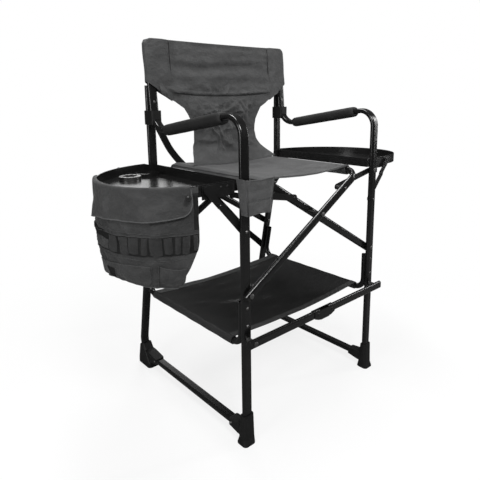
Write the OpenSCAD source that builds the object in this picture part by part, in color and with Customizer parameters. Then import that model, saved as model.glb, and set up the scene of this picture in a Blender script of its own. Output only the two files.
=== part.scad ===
// Folding makeup chair: two tube side frames on a scissor underframe, sling seat and
// back, two drop-down side trays, a mesh shelf and hanging pouches. Millimetres, +Z up.
// The sitter faces -Y, so the sitter's right side is -X.

/* [Side frames] */
// Distance between the centre planes of the two side frames
frame_gap = 560; // [500:5:620]
// Width of the flat oval frame tube, across the chair
tube_w = 30; // [26:1:34]
// Thickness of the flat oval frame tube, along its bends
tube_t = 15; // [13:1:17]
// Wall of every tube
tube_wall = 1.5; // [1.2:0.1:2]
// Height at which the front leg starts to bend into the arm
leg_top_z = 848; // [800:4:880]
// Bend radius from the front leg into the arm
arm_bend_r = 50; // [40:2:60]
// Fall of the arm towards the rear, in degrees
arm_fall = 9; // [6:1:12]
// Straight length of the arm
arm_len = 292; // [270:2:310]
// Bend radius from the arm up into the back post
post_bend_r = 62; // [54:2:70]
// Rearward lean of the back post, in degrees
post_lean = 5; // [3:1:7]
// Height of the back post's top end
post_top_z = 1112; // [1060:4:1140]
// Distance from the front leg to the upright part of the rear leg
upright_y = 440; // [436:1:446]
// Height of the rear leg's top end
upright_top_z = 982; // [950:2:984]
// Height at which the rear leg starts to splay
splay_z = 745; // [740:1:760]
// Rearward splay of the rear leg, in degrees
splay = 10.8; // [9:0.2:12]
// Bend radius at the splay
splay_r = 120; // [80:10:160]
// Height of the bottom rail's centre line
rail_z = 40; // [34:1:46]
// Bend radius from the bottom rail into the rear leg
rail_bend_r = 52; // [46:2:60]

/* [Scissor underframe] */
// Height of the low pivots on the legs
low_pivot_z = 442; // [420:2:460]
// Rise of the scissor arms from level, in degrees
arm_rise = 31; // [29:0.5:33]
// Distance of each seat rail from the chair's middle plane
seat_rail_x = 175; // [165:1:185]
// Width of the scissor tube, in the plane of the scissor
x_tube_w = 24; // [20:1:26]
// Thickness of the scissor tube, along the pivots
x_tube_t = 16; // [14:1:17]
// Bend radius between scissor arm and seat rail
x_bend_r = 40; // [34:1:46]
// Diameter of the pivot bolts
bolt_d = 8; // [6:1:8]
// Where the link is riveted to the scissor arm, from the middle plane
link_rivet_x = 105; // [95:1:115]
// Width of the flat links and stays
flat_w = 18; // [14:1:20]
// Thickness of the flat links and stays
flat_t = 2; // [1.6:0.2:2.2]

/* [Shelf and front bar] */
// Diameter of the shelf rail tube
shelf_d = 19; // [16:1:21]
// Height of the shelf rail's centre line
shelf_z = 289; // [270:1:310]
// Height of the shelf rail's upturned ends
shelf_top_z = 414; // [400:1:418]
// Bend radius of the shelf rail
shelf_bend_r = 35; // [28:1:42]
// Sag of the mesh between the rails
shelf_sag = 16; // [8:1:30]
// Height of the front folding bar
bar_z = 314; // [300:1:330]
// Height of the front bar's flat oval tube
bar_w = 25; // [20:1:28]
// Thickness of the front bar's flat oval tube
bar_t = 12; // [10:1:12]
// Distance between the two knee pivots of the front bar
knee_gap = 63; // [54:1:72]

/* [Side trays] */
// Height of the tray rims
tray_top_z = 742; // [736:1:750]
// Depth of the tray, rim to underside
tray_h = 28; // [22:1:32]
// Wall of the tray rim and its floor
tray_wall = 2.5; // [2:0.5:3]
// Radius of the tray's long rear curve
tray_rear_r = 275; // [262:1:280]
// Radius of the tray's front corner
tray_front_r = 160; // [120:2:165]
// Distance from the front leg to the tray's front edge
tray_front_y = 22; // [20:1:26]
// Depth of the tray along the chair, from its front edge to its widest place
tray_wide_y = 164; // [160:1:180]
// How far the tray's hinge lies below its underside
hinge_drop = 8; // [7:1:10]
// Distance of the tray hinge from the leg's outer face
hinge_out = 8; // [7:1:10]
// Height of the stay's pivot on the leg
stay_leg_z = 610; // [600:1:620]
// Distance of the stay's pivot on the tray from the leg's centre plane
stay_tray_x = 107; // [100:1:112]
// Height of the stay's pivot on the tray above the tray's underside
stay_tray_up = 16; // [12:1:18]
// Share of the stay's length that its short link takes
stay_split = 0.365; // [0.36:0.005:0.37]
// Diameter of the round hole for a cup
cup_d = 66; // [56:1:72]
// Diameter of the second, lobed holder
lobe_d = 52; // [44:1:58]

/* [Soft parts] */
// Thickness of the sling fabric
cloth_t = 2.5; // [2:0.5:3]
// Diameter of the foam arm grip over its flat oval tube
grip_pad = 10; // [8:1:12]
// Sag of the seat between its rails
seat_sag = 10; // [4:1:20]
// Height of the top edge of the back
back_top_z = 1124; // [1118:1:1150]
// Height at which the back starts to narrow
back_low_z = 984; // [975:1:995]
// Half width of the back's narrowest place
neck_x = 126; // [110:2:140]
// Width of the phone pouch's front
phone_w = 98; // [80:2:110]
// Height of the phone pouch
phone_h = 88; // [76:2:100]
// Thickness of the phone pouch
phone_t = 7; // [5:0.5:9]
// Thickness of the filled tool pouch
pouch_t = 18; // [12:1:24]
// Height of the tool pouch's bottom
pouch_low_z = 488; // [460:2:520]
// Number of elastic brush loops on the tool pouch
loops = 9; // [5:1:12]
// Width of the carrying strap
strap_w = 25; // [20:1:30]

/* [Hidden] */

$fn = 48;
side_x = frame_gap / 2;
// Gap between pieces that seat on each other
seat_gap = 0.3;
// Radial clearance of every running pivot
pivot_clear = 0.08;
// Depth of a bolt head and how far it stands round its shank
head_h = 3;
rivet_h = 1.6;
head_r = bolt_d / 2 + 3;
// How far a tube runs past its pivot
end_run = 14;
// How far a straight stretch runs into a bend, and how much thicker the bend's wall is
lap = 0.5;
bend_swell = 0.05;

// Points of the side frame are [y, z] from the front leg's centre line
function along(a) = [cos(a), sin(a)];
arm_centre = [arm_bend_r, leg_top_z];
arm_start = arm_centre + arm_bend_r * along(90 - arm_fall);
arm_dir = [cos(arm_fall), -sin(arm_fall)];
arm_end = arm_start + arm_len * arm_dir;
post_centre = arm_end + post_bend_r * [sin(arm_fall), cos(arm_fall)];
post_start = post_centre + post_bend_r * along(-post_lean);
post_dir = [sin(post_lean), cos(post_lean)];
post_end = post_start + (post_top_z - post_start[1]) / post_dir[1] * post_dir;
function post_y(z) = post_start[0] + (z - post_start[1]) * tan(post_lean);

splay_centre = [upright_y + splay_r, splay_z];
splay_end = splay_centre + splay_r * along(180 + splay);
// Length of the splayed stretch, from the rail bend up to the splay bend
splay_run = (splay_end[1] - rail_z - rail_bend_r * (1 + sin(splay))) / cos(splay);
rail_centre = [splay_end[0] - rail_bend_r * cos(splay) + splay_run * sin(splay),
  rail_z + rail_bend_r];
rail_bend_end = rail_centre + rail_bend_r * along(splay);
function rear_leg_y(z) = splay_end[0] + (splay_end[1] - z) * tan(splay);
// Half of the leg's thickness, measured level on the splayed stretch
splay_half_t = tube_t / 2 / cos(splay);
leg_low_z = rail_z - 12;
rail_front_y = tube_t / 2 + seat_gap;

// The fold that the underframe is laid out for, in degrees
full_fold = 45;

// The scissor tubes: a low pivot on each leg, a crossing on the middle plane
arm_reach = side_x / cos(arm_rise);
cross_z = low_pivot_z + side_x * tan(arm_rise);
rail_reach = (side_x + seat_rail_x) / cos(arm_rise);
seat_rail_z = low_pivot_z + rail_reach * sin(arm_rise);
// Tube a passes in front of both legs, tube b behind them
folded_rise = arm_rise + full_fold;
a_front_y = -(tube_t / 2 + 1 + x_tube_t / 2);
b_front_y = -a_front_y;
// Folded, tube a stands up beside the leg that leans in over it, so it needs more room
lean_reach = (tube_w / 2 + x_tube_w / 2 * sin(folded_rise)) * tan(folded_rise)
  + x_tube_w / 2 * cos(folded_rise);
a_rear_y = rear_leg_y(low_pivot_z + lean_reach) - splay_half_t - x_tube_t / 2;
b_rear_y = rear_leg_y(low_pivot_z - end_run - 4) + splay_half_t + x_tube_t / 2 + seat_gap;

folded_half = arm_reach * cos(folded_rise);
link_reach = (side_x + link_rivet_x) / cos(arm_rise);
link_past = 2 * arm_reach - link_reach;
link_rivet_z = low_pivot_z + link_reach * sin(arm_rise);
link_folded_z = low_pivot_z + link_reach * sin(folded_rise);
// Height at which the link has one length when the chair is open and when it is folded
link_leg_z = (pow(link_past * cos(folded_rise), 2) + pow(link_folded_z, 2)
  - pow(link_past * cos(arm_rise), 2) - pow(link_rivet_z, 2))
  / (2 * (link_folded_z - link_rivet_z));
link_y = tube_t / 2 + 1 + flat_t / 2;

// The bar's knee plate passes before tube a as the chair folds
plate_t = 2;
plate_gap = 0.4;
bar_y = a_front_y - x_tube_t / 2 - 2 * plate_gap - plate_t - bar_t / 2;
bar_half_len = side_x - knee_gap / 2;

// The tray, in [u, y]: u runs outward from the leg's centre plane
tray_low_z = tray_top_z - tray_h;
tray_curve_y = tray_front_y + tray_wide_y;
tray_reach = tray_rear_r + 4;
tray_front_u = tray_reach - tray_front_r;
hinge_u = tube_w / 2 + hinge_out;
hinge_z = tray_low_z - hinge_drop;
notch_u = tube_w / 2 + 5;
notch_y = upright_y - tube_t / 2 - 1.5;
stay_tray_z = tray_low_z + stay_tray_up;
stay_len = norm([stay_tray_x, stay_tray_z - stay_leg_z]);
stay_angle = atan2(stay_tray_z - stay_leg_z, stay_tray_x);
stay_long = stay_len * (1 - stay_split);
stay_short = stay_len * stay_split;
ear_t = 2.5;
pin_d = 5;
stay_front_y = tube_t / 2 + 0.8 + flat_t / 2;
// The rear stay's link must clear the leaning leg up to where it leaves the leg's face
stay_cross = (tube_w - tube_t) / 2 * tan(stay_angle) + flat_w / 2 / cos(stay_angle);
stay_rear_y = rear_leg_y(stay_leg_z + stay_cross) - splay_half_t - 1 - flat_t / 2;
cup_u = 52;
cup_y = 388;
lobe_u = 128;
lobe_y = 352;

// Tool pouch: it hangs along the rim from the rear curve round to the front edge
pouch_gap = 0.6;
pouch_rear_turn = 32;
pouch_front_u = 118;
flap_t = 2;
flap_h = 90;
loop_z = 580;
loop_h = 40;
loop_out = 7;

// The origin is under the middle of the whole chair
foot_front = 18;
foot_rear = rail_bend_r + 19;
front_reach = max(foot_front, -bar_y + bar_t / 2 + plate_gap + plate_t + rivet_h,
  -a_front_y + x_tube_t / 2 + 1 + phone_t);
rear_reach = rail_centre[0] + foot_rear;
shift_x = (pouch_gap + pouch_t + 0.5 + loop_out) / 2;
shift_y = (front_reach - rear_reach) / 2;

tube_colour = [0.07, 0.07, 0.08];
plastic_colour = [0.1, 0.1, 0.1];
cloth_colour = [0.25, 0.25, 0.26];
steel_colour = [0.7, 0.7, 0.7];

// Places its children in the chair's frame
module seated() translate([shift_x, shift_y, 0]) children();

// Places its children on one side frame: s is -1 for the right side, 1 for the left.
// The children are drawn for the left side, with +X outward.
module on_side(s) seated() translate([s * side_x, 0, 0]) mirror([s < 0 ? 1 : 0, 0, 0])
  children();

module flat_oval(w, t) {
  square([w - t, t], center = true);
  for (s = [-1, 1]) translate([s * (w - t) / 2, 0]) circle(d = t, $fn = 24);
}

// A tube's wall, e thicker on both faces, or its solid outline with room g round it
module oval_wall(w, t, g = 0, e = 0) difference() {
  flat_oval(w + 2 * (g + e), t + 2 * (g + e));
  if (g == 0) flat_oval(w - 2 * (tube_wall + e), t - 2 * (tube_wall + e));
}

// A straight stretch from p to q in the side frame's plane, run on by a and b
module straight_yz(p, q, a = lap, b = lap) {
  d = q - p;
  translate([0, p[0], p[1]]) rotate([-atan2(d[0], d[1]), 0, 0])
    translate([0, 0, -a]) linear_extrude(norm(d) + a + b) children();
}

// A bend about a centre in the side frame's plane, from angle a0 to a1
module bend_yz(c, r, a0, a1)
  translate([0, c[0], c[1]]) rotate([90, 0, 90]) rotate([0, 0, a0])
    rotate_extrude(angle = a1 - a0, $fn = 72) translate([r, 0]) rotate(90) children();

// A round shank along Y from y0 to y1
module shank_y(x, z, y0, y1, r)
  translate([x, y0, z]) rotate([-90, 0, 0]) cylinder(h = y1 - y0, r = r);

// A bolt along Y with a domed head at each end
module bolt_y(x, z, y0, y1, r = bolt_d / 2, hr = head_r) {
  shank_y(x, z, y0, y1, r);
  for (e = [[y0, -1], [y1, 1]]) translate([x, e[0], z]) rotate([-90 * e[1], 0, 0]) {
    cylinder(h = head_h / 2, r = hr);
    translate([0, 0, head_h / 2]) cylinder(h = head_h / 2, r1 = hr, r2 = hr * 0.6);
  }
}

// A spacer tube along Y, loose round a bolt
module spacer_y(x, z, y0, y1) difference() {
  shank_y(x, z, y0, y1, bolt_d / 2 + 3);
  shank_y(x, z, y0 - 1, y1 + 1, bolt_d / 2 + pivot_clear);
}

module leg_holes() {
  hole_r = bolt_d / 2 + pivot_clear;
  for (z = [low_pivot_z, link_leg_z]) shank_y(0, z, -tube_t, tube_t, hole_r);
  shank_y(0, bar_z, -tube_t, 0, hole_r);
  shank_y(0, stay_leg_z, -tube_t, tube_t, pin_d / 2 + pivot_clear);
}

// Front leg, arm and back post, one bent tube, or its outline with room g round it
module arm_path(g = 0) {
  straight_yz([0, leg_low_z], [0, leg_top_z], g) oval_wall(tube_w, tube_t, g);
  bend_yz(arm_centre, arm_bend_r, 90 - arm_fall, 180)
    oval_wall(tube_w, tube_t, g, bend_swell);
  straight_yz(arm_start, arm_end) oval_wall(tube_w, tube_t, g);
  bend_yz(post_centre, post_bend_r, -90 - arm_fall, -post_lean)
    oval_wall(tube_w, tube_t, g, bend_swell);
  straight_yz(post_start, post_end, lap, g) oval_wall(tube_w, tube_t, g);
}

// Bottom rail and rear leg, one bent tube, or its outline with room g round it
module base_path(g = 0) {
  straight_yz([rail_front_y, rail_z], [rail_centre[0], rail_z], g)
    oval_wall(tube_w, tube_t, g);
  bend_yz(rail_centre, rail_bend_r, -90, splay) oval_wall(tube_w, tube_t, g, bend_swell);
  straight_yz(rail_bend_end, splay_end) oval_wall(tube_w, tube_t, g);
  bend_yz(splay_centre, splay_r, 180, 180 + splay)
    oval_wall(tube_w, tube_t, g, bend_swell);
  straight_yz([upright_y, splay_z], [upright_y, upright_top_z], lap, g)
    oval_wall(tube_w, tube_t, g);
}

module side_arm_tube(s) on_side(s) difference() {
  arm_path();
  leg_holes();
}

module side_base_tube(s) on_side(s) difference() {
  base_path();
  shank_y(0, low_pivot_z, a_rear_y, b_rear_y, bolt_d / 2 + pivot_clear);
  shank_y(0, stay_leg_z, stay_rear_y, rear_leg_y(stay_leg_z) + tube_t,
    pin_d / 2 + pivot_clear);
}

// Rounded slab used to shape the moulded feet
module pad(w, d, h, r) linear_extrude(h) {
  square([w - 2 * r, d], center = true);
  square([w, d - 2 * r], center = true);
  for (i = [-1, 1], j = [-1, 1]) translate([i * (w / 2 - r), j * (d / 2 - r)]) circle(r);
}

foot_wall = 3.5;
sleeve_w = tube_w + 2 * foot_wall;
sleeve_t = tube_t + 2 * foot_wall;
front_foot_top = 88;
rail_sleeve = 62;

module side_front_foot(s) on_side(s) difference() {
  union() {
    hull($fn = 32) {
      translate([0, 0, front_foot_top - 2]) pad(sleeve_w, sleeve_t, 2, 8);
      translate([0, 2, rail_z - 26]) pad(sleeve_w + 3, sleeve_t + 8, 4, 9);
    }
    hull($fn = 32) {
      translate([0, 2, rail_z - 26]) pad(sleeve_w + 3, sleeve_t + 8, 4, 9);
      translate([2, 20 - foot_front, 0]) pad(sleeve_w + 5, 40, 3, 11);
    }
    hull($fn = 32) {
      translate([0, 18, rail_z - 16]) pad(sleeve_w - 4, 20, 30, 6);
      translate([0, rail_sleeve - 6, rail_z - 10]) pad(sleeve_w - 4, 12, 20, 5);
    }
  }
  arm_path(seat_gap);
  base_path(seat_gap);
}

// The rear foot wraps the bend: its sleeve's top lies where the bend is this steep
foot_turn = -20;
rear_sleeve = rail_centre + rail_bend_r * along(foot_turn);

module side_rear_foot(s) on_side(s) difference() {
  union() {
    hull($fn = 32) {
      translate([0, rear_sleeve[0] - 2, rear_sleeve[1] - 2]) rotate([foot_turn, 0, 0])
        pad(sleeve_w, sleeve_t + 4, 2, 8);
      translate([1, rail_centre[0] + foot_rear - 41, 14]) pad(sleeve_w + 3, 76, 4, 9);
    }
    hull($fn = 32) {
      translate([1, rail_centre[0] + foot_rear - 41, 14]) pad(sleeve_w + 3, 76, 4, 9);
      translate([1, rail_centre[0] + foot_rear - 40, 0]) pad(sleeve_w + 3, 80, 3, 12);
    }
    hull($fn = 32) {
      translate([0, rail_centre[0] - 44, rail_z - 11]) pad(sleeve_w - 4, 12, 22, 5);
      translate([0, rail_centre[0] + 12, rail_z - 18]) pad(sleeve_w - 4, 30, 36, 6);
    }
  }
  base_path(seat_gap);
}

clamp_low_z = 866;
clamp_h = 43;
clamp_w = tube_w + 5;

module side_rear_clamp(s) on_side(s) difference() {
  front = post_y(clamp_low_z) - tube_t / 2 - 6;
  back = upright_y + tube_t / 2 + 4;
  translate([0, (front + back) / 2, clamp_low_z]) pad(clamp_w, back - front, clamp_h, 7);
  arm_path(seat_gap);
  base_path(seat_gap);
}

module side_arm_grip(s) on_side(s) difference() {
  straight_yz(arm_start + 16 * arm_dir, arm_end)
    flat_oval(tube_w + grip_pad, tube_t + 2 * grip_pad);
  straight_yz(arm_start, arm_end + 2 * arm_dir)
    flat_oval(tube_w + 2 * seat_gap, tube_t + 2 * seat_gap);
}

module side_leg_plug(s) on_side(s) {
  translate([0, upright_y, upright_top_z + 0.1])
    linear_extrude(3) flat_oval(tube_w, tube_t);
  translate([0, upright_y, upright_top_z - 12]) linear_extrude(12.2)
    flat_oval(tube_w - 2 * tube_wall - seat_gap, tube_t - 2 * tube_wall - seat_gap);
}

// The shelf rail runs between the legs, its ends turned up along them
shelf_front_y = tube_t / 2 + seat_gap + shelf_d / 2;
shelf_rear_off = splay_half_t + (seat_gap + shelf_d / 2) / cos(splay);
shelf_rear_run = (shelf_top_z - shelf_z - shelf_bend_r * (1 + sin(splay))) / cos(splay);
shelf_rear_top = [rear_leg_y(shelf_top_z) - shelf_rear_off, shelf_top_z];
shelf_rear_low = shelf_rear_top + shelf_rear_run * [sin(splay), -cos(splay)];
shelf_rear_centre = shelf_rear_low - shelf_bend_r * along(splay);
shelf_front_centre = [shelf_front_y + shelf_bend_r, shelf_z + shelf_bend_r];

module shelf_ring(e = 0) difference() {
  circle(d = shelf_d + 2 * e, $fn = 32);
  circle(d = shelf_d - 2 * (tube_wall + e), $fn = 32);
}

module side_shelf_rail(s) on_side(s) difference() {
  union() {
    straight_yz([shelf_front_y, shelf_front_centre[1]], [shelf_front_y, shelf_top_z], lap, 0)
      shelf_ring();
    bend_yz(shelf_front_centre, shelf_bend_r, 180, 270) shelf_ring(bend_swell);
    straight_yz([shelf_front_centre[0], shelf_z], [shelf_rear_centre[0], shelf_z])
      shelf_ring();
    bend_yz(shelf_rear_centre, shelf_bend_r, -90, splay) shelf_ring(bend_swell);
    straight_yz(shelf_rear_low, shelf_rear_top, lap, 0) shelf_ring();
  }
  for (z = shelf_rivet_z) shank_y(0, z, 0, shelf_front_y + shelf_d, rivet_r + 0.1);
  shank_y(0, shelf_rivet_z[0], shelf_rear_top[0] - shelf_d, rear_leg_y(shelf_z), rivet_r + 0.1);
}

rivet_r = 2.5;
rivet_head_r = 4.5;
shelf_rivet_z = [shelf_top_z - 12, shelf_top_z - 62];

// A rivet head on a face that looks along -Y or +Y, with a short shank into the wall
module rivet_y(x, y, z, s) translate([x, y, z]) rotate([s * 90, 0, 0])
  cylinder(h = rivet_h, r1 = rivet_head_r, r2 = rivet_head_r * 0.6);

module side_frame_bolts(s) on_side(s) {
  leg_face = tube_t / 2 + 0.1;
  // Low front pivot: tube b lies behind the left leg, tube a before the right one
  if (s > 0) bolt_y(0, low_pivot_z, -leg_face, b_front_y + x_tube_t / 2 + 0.4);
  else bolt_y(0, low_pivot_z, a_front_y - x_tube_t / 2 - 0.4, leg_face);
  // Low rear pivot: tube b lies behind the left leg, tube a before the right one with
  // a spacer
  leg_y = rear_leg_y(low_pivot_z);
  slope = head_r * tan(splay) + 0.2;
  if (s > 0) {
    bolt_y(0, low_pivot_z, leg_y - splay_half_t - slope, b_rear_y + x_tube_t / 2 + 0.4);
    spacer_y(0, low_pivot_z, leg_y + splay_half_t + slope, b_rear_y - x_tube_t / 2 - 0.3);
  } else {
    bolt_y(0, low_pivot_z, a_rear_y - x_tube_t / 2 - 0.4, leg_y + splay_half_t + slope);
    spacer_y(0, low_pivot_z, a_rear_y + x_tube_t / 2 + 0.3, leg_y - splay_half_t - slope);
  }
  // Link pivot
  if (s > 0) bolt_y(0, link_leg_z, -leg_face, link_y + flat_t / 2 + 0.3);
  else bolt_y(0, link_leg_z, -link_y - flat_t / 2 - 0.3, leg_face);
  // Front bar pivot: a shoulder before the leg, and a tail set inside its front wall
  tail_y = -tube_t / 2 + tube_wall + 0.2;
  shank_y(0, bar_z, bar_y + bar_t / 2 + 0.3, -leg_face, bolt_d / 2 + 3);
  shank_y(0, bar_z, -leg_face - 0.5, tail_y + 1, bolt_d / 2);
  shank_y(0, bar_z, tail_y, tail_y + 1.5, bolt_d / 2 + 1.5);
  if (s < 0) bolt_y(0, bar_z, bar_y - bar_t / 2 - 0.4, bar_y + bar_t / 2 + 0.5);
  // Stay pivots
  bolt_y(0, stay_leg_z, -leg_face, stay_front_y + flat_t / 2 + 0.3,
    pin_d / 2, rivet_head_r);
  stay_face = rear_leg_y(stay_leg_z) - splay_half_t - 1.2;
  bolt_y(0, stay_leg_z, stay_rear_y - flat_t / 2 - 0.3,
    rear_leg_y(stay_leg_z) + splay_half_t + 1.2, pin_d / 2, rivet_head_r);
  shank_y(0, stay_leg_z, stay_rear_y + flat_t / 2 + 0.3, stay_face, rivet_head_r);
  // Rivets that hold the shelf rail to both legs
  for (z = shelf_rivet_z) rivet_y(0, -leg_face, z, 1);
  // Screws through the back post above the clamp and rivets on the feet
  rivet_y(0, post_y(935) - tube_t / 2 / cos(post_lean) - 0.5, 935, 1);
  for (y = [rail_sleeve - 10, rail_centre[0] - 40])
    translate([sleeve_w / 2 - 2 + 0.2, y, rail_z]) rotate([0, 90, 0])
      cylinder(h = 1.6, r1 = rivet_head_r, r2 = rivet_head_r * 0.6);
}

ear_front_y = tray_front_y - 0.3 - ear_t / 2;
ear_rear_y = notch_y - 6;

// Angle brackets on the legs' outer faces, with the tray's hinge pins
module side_hinge_brackets(s) on_side(s) {
  leaf_x = tube_w / 2 + 0.3;
  for (b = [[ear_front_y - ear_t - 0.5, -6, tube_t / 2 - 2, 1],
            [ear_rear_y - ear_t - 0.5, upright_y - 4, upright_y + 8, 1]]) {
    leaf_low = min(b[0] - ear_t / 2, b[1]);
    leaf_high = max(b[0] + ear_t / 2, b[2]);
    translate([leaf_x, leaf_low, hinge_z - 8])
      cube([ear_t, leaf_high - leaf_low, 6 + hinge_drop]);
    translate([leaf_x, b[0] - ear_t / 2, hinge_z - 8])
      cube([hinge_u - leaf_x + 6, ear_t, 8 + pin_d / 2 + 1.5]);
    shank_y(hinge_u, hinge_z, min(b[0], b[0] + b[3] * (2 * ear_t + 2)),
      max(b[0], b[0] + b[3] * (2 * ear_t + 2)), pin_d / 2);
  }
}

// One scissor tube in its own plane: x up the arm from its front low pivot, y to the rear
module u_tube(span) {
  run = rail_reach - x_bend_r;
  for (y = [0, span]) translate([-end_run, y, 0]) rotate([90, 0, 90])
    linear_extrude(run + end_run + lap) rotate(90) oval_wall(x_tube_w, x_tube_t);
  for (e = [[x_bend_r, -90], [span - x_bend_r, 0]])
    translate([run, e[0], 0]) rotate([0, 0, e[1]])
      rotate_extrude(angle = 90, $fn = 72) translate([x_bend_r, 0])
        rotate(90) oval_wall(x_tube_w, x_tube_t, 0, bend_swell);
  translate([run + x_bend_r, x_bend_r - lap, 0]) rotate([-90, 0, 0])
    linear_extrude(span - 2 * x_bend_r + 2 * lap) rotate(90) oval_wall(x_tube_w, x_tube_t);
}

module u_holes(span) {
  for (x = [0, arm_reach]) shank_y(x, 0, -x_tube_t, span + x_tube_t,
    bolt_d / 2 + pivot_clear);
  shank_y(link_reach, 0, -x_tube_t, x_tube_t, pin_d / 2 + pivot_clear);
}

// Places children drawn for tube a (s = 1) or tube b (s = -1) at its front low pivot
module on_scissor(s) seated() mirror([s < 0 ? 1 : 0, 0, 0])
  translate([-side_x, s > 0 ? a_front_y : b_front_y, low_pivot_z])
    rotate([0, -arm_rise, 0]) children();

a_span = a_rear_y - a_front_y;
b_span = b_rear_y - b_front_y;

module scissor_tube_a() color(tube_colour) on_scissor(1) difference() {
  u_tube(a_span);
  u_holes(a_span);
}

module scissor_tube_b() color(tube_colour) on_scissor(-1) difference() {
  u_tube(b_span);
  u_holes(b_span);
}

module plugs(span) for (y = [0, span]) translate([-end_run - 2.2, y, 0]) rotate([90, 0, 90])
  linear_extrude(2) rotate(90) flat_oval(x_tube_w, x_tube_t);

module arm_plugs_a() color(plastic_colour) on_scissor(1) plugs(a_span);
module arm_plugs_b() color(plastic_colour) on_scissor(-1) plugs(b_span);

module cross_bolts() color(steel_colour) seated() {
  for (e = [[a_front_y, b_front_y], [a_rear_y, b_rear_y]]) {
    bolt_y(0, cross_z, e[0] - x_tube_t / 2 - 0.4, e[1] + x_tube_t / 2 + 0.4);
    spacer_y(0, cross_z, e[0] + x_tube_t / 2 + 0.2, e[1] - x_tube_t / 2 - 0.2);
  }
}

// The shouldered rivet that carries each link's end: a head outside the tube, a shank
// through it, and a shoulder that reaches to the link
module arm_rivet(s) {
  head_y = s > 0 ? a_front_y - x_tube_t / 2 - 0.4 : b_front_y + x_tube_t / 2 + 0.4;
  tube_face = s > 0 ? a_front_y + x_tube_t / 2 : b_front_y - x_tube_t / 2;
  flat_face = s * (link_y - flat_t / 2);
  x = s * link_rivet_x;
  shank_y(x, link_rivet_z, min(head_y, tube_face + s), max(head_y, tube_face + s), pin_d / 2);
  rivet_y(x, head_y, link_rivet_z, s);
  shank_y(x, link_rivet_z, min(tube_face + s * 0.3, flat_face - s * 0.3),
    max(tube_face + s * 0.3, flat_face - s * 0.3), pin_d / 2 + 2.5);
}

module arm_rivet_a() color(steel_colour) seated() arm_rivet(1);
module arm_rivet_b() color(steel_colour) seated() arm_rivet(-1);

// A flat bar with round ends and a hole at each, from one pivot to the other in [x, z]
module flat_bar(p, q, y, r0, r1) {
  d = q - p;
  translate([p[0], y + flat_t / 2, p[1]]) rotate([90, -atan2(d[1], d[0]), 0])
    linear_extrude(flat_t) difference() {
      union() {
        translate([0, -flat_w / 2]) square([norm(d), flat_w]);
        circle(d = flat_w);
        translate([norm(d), 0]) circle(d = flat_w);
      }
      if (r0 > 0) circle(r = r0);
      if (r1 > 0) translate([norm(d), 0]) circle(r = r1);
    }
}

module link(s) seated() {
  flat_bar([s * side_x, link_leg_z], [s * link_rivet_x, link_rivet_z],
    s * link_y, bolt_d / 2 + pivot_clear, 0);
  rivet_y(s * link_rivet_x, s * (link_y + flat_t / 2 - 0.01), link_rivet_z, -s);
}

module right_link() color(tube_colour) link(-1);
module left_link() color(tube_colour) link(1);

// Half of the front bar, from past its leg to its knee pivot
bar_over = 16;
module bar_half(s) seated() difference() {
  translate([s * (knee_gap / 2 - 12), bar_y, bar_z]) rotate([90, 0, s * 90])
    linear_extrude(bar_half_len + bar_over + 12) rotate(90) oval_wall(bar_w, bar_t);
  if (s < 0)
    shank_y(s * side_x, bar_z, bar_y - bar_t, bar_y + bar_t, bolt_d / 2 + pivot_clear);
  shank_y(s * knee_gap / 2, bar_z, bar_y - bar_t, bar_y + bar_t, pin_d / 2 + pivot_clear);
}

module bar_cap(s) seated() translate([s * (side_x + bar_over + 0.1), bar_y, bar_z])
  rotate([90, 0, s * 90]) linear_extrude(3) rotate(90) flat_oval(bar_w, bar_t);

module right_bar_half() color(tube_colour) bar_half(-1);
module left_bar_half() color(tube_colour) bar_half(1);
module right_bar_cap() color(plastic_colour) bar_cap(-1);
module left_bar_cap() color(plastic_colour) bar_cap(1);

// The channel that joins the halves, with its two knee rivets
plate_over = 14;
module bar_knee_plate() color(tube_colour) seated() translate([0, bar_y, bar_z]) {
  half = knee_gap / 2 + plate_over;
  side_y = bar_t / 2 + plate_gap;
  for (s = [-1, 1]) translate([0, s * (side_y + plate_t / 2) + plate_t / 2, 0])
    rotate([90, 0, 0]) linear_extrude(plate_t)
      polygon([[-half, bar_w / 2 - 2], [-half, -bar_w / 2 + 2], [-half + 18, -bar_w / 2 - 5],
        [half - 18, -bar_w / 2 - 5], [half, -bar_w / 2 + 2], [half, bar_w / 2 - 2]]);
  web = knee_gap / 2 - bar_w / 2 + 1;
  translate([-web, -side_y - plate_t, -bar_w / 2 - 5 - plate_t])
    cube([2 * web, 2 * (side_y + plate_t), plate_t]);
  for (x = [-1, 1]) {
    shank_y(x * knee_gap / 2, 0, -side_y - 0.5, side_y + 0.5, pin_d / 2);
    rivet_y(x * knee_gap / 2, -side_y - plate_t + 0.01, 0, 1);
  }
}

// Plan of the tray in [u, y], drawn in from its edge by i
module tray_plan(i) difference() {
  union() {
    intersection() {
      translate([tray_reach - tray_rear_r, tray_curve_y]) circle(tray_rear_r - i, $fn = 120);
      translate([1 + i, tray_curve_y]) square(tray_rear_r + 40);
    }
    translate([1 + i, tray_front_y + i])
      square([tray_front_u - 1 - i, tray_wide_y - i + 1]);
    intersection() {
      translate([tray_front_u, tray_front_y + tray_front_r])
        circle(tray_front_r - i, $fn = 120);
      translate([tray_front_u - 1, tray_front_y - 40]) square([tray_front_r + 60, tray_wide_y + 41]);
    }
    translate([tray_front_u - 1, tray_front_y + tray_front_r - 1])
      square([tray_front_r + 1 - i, tray_wide_y - tray_front_r + 2]);
  }
  translate([-20, notch_y - i]) square([20 + notch_u + i, 80]);
}

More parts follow.
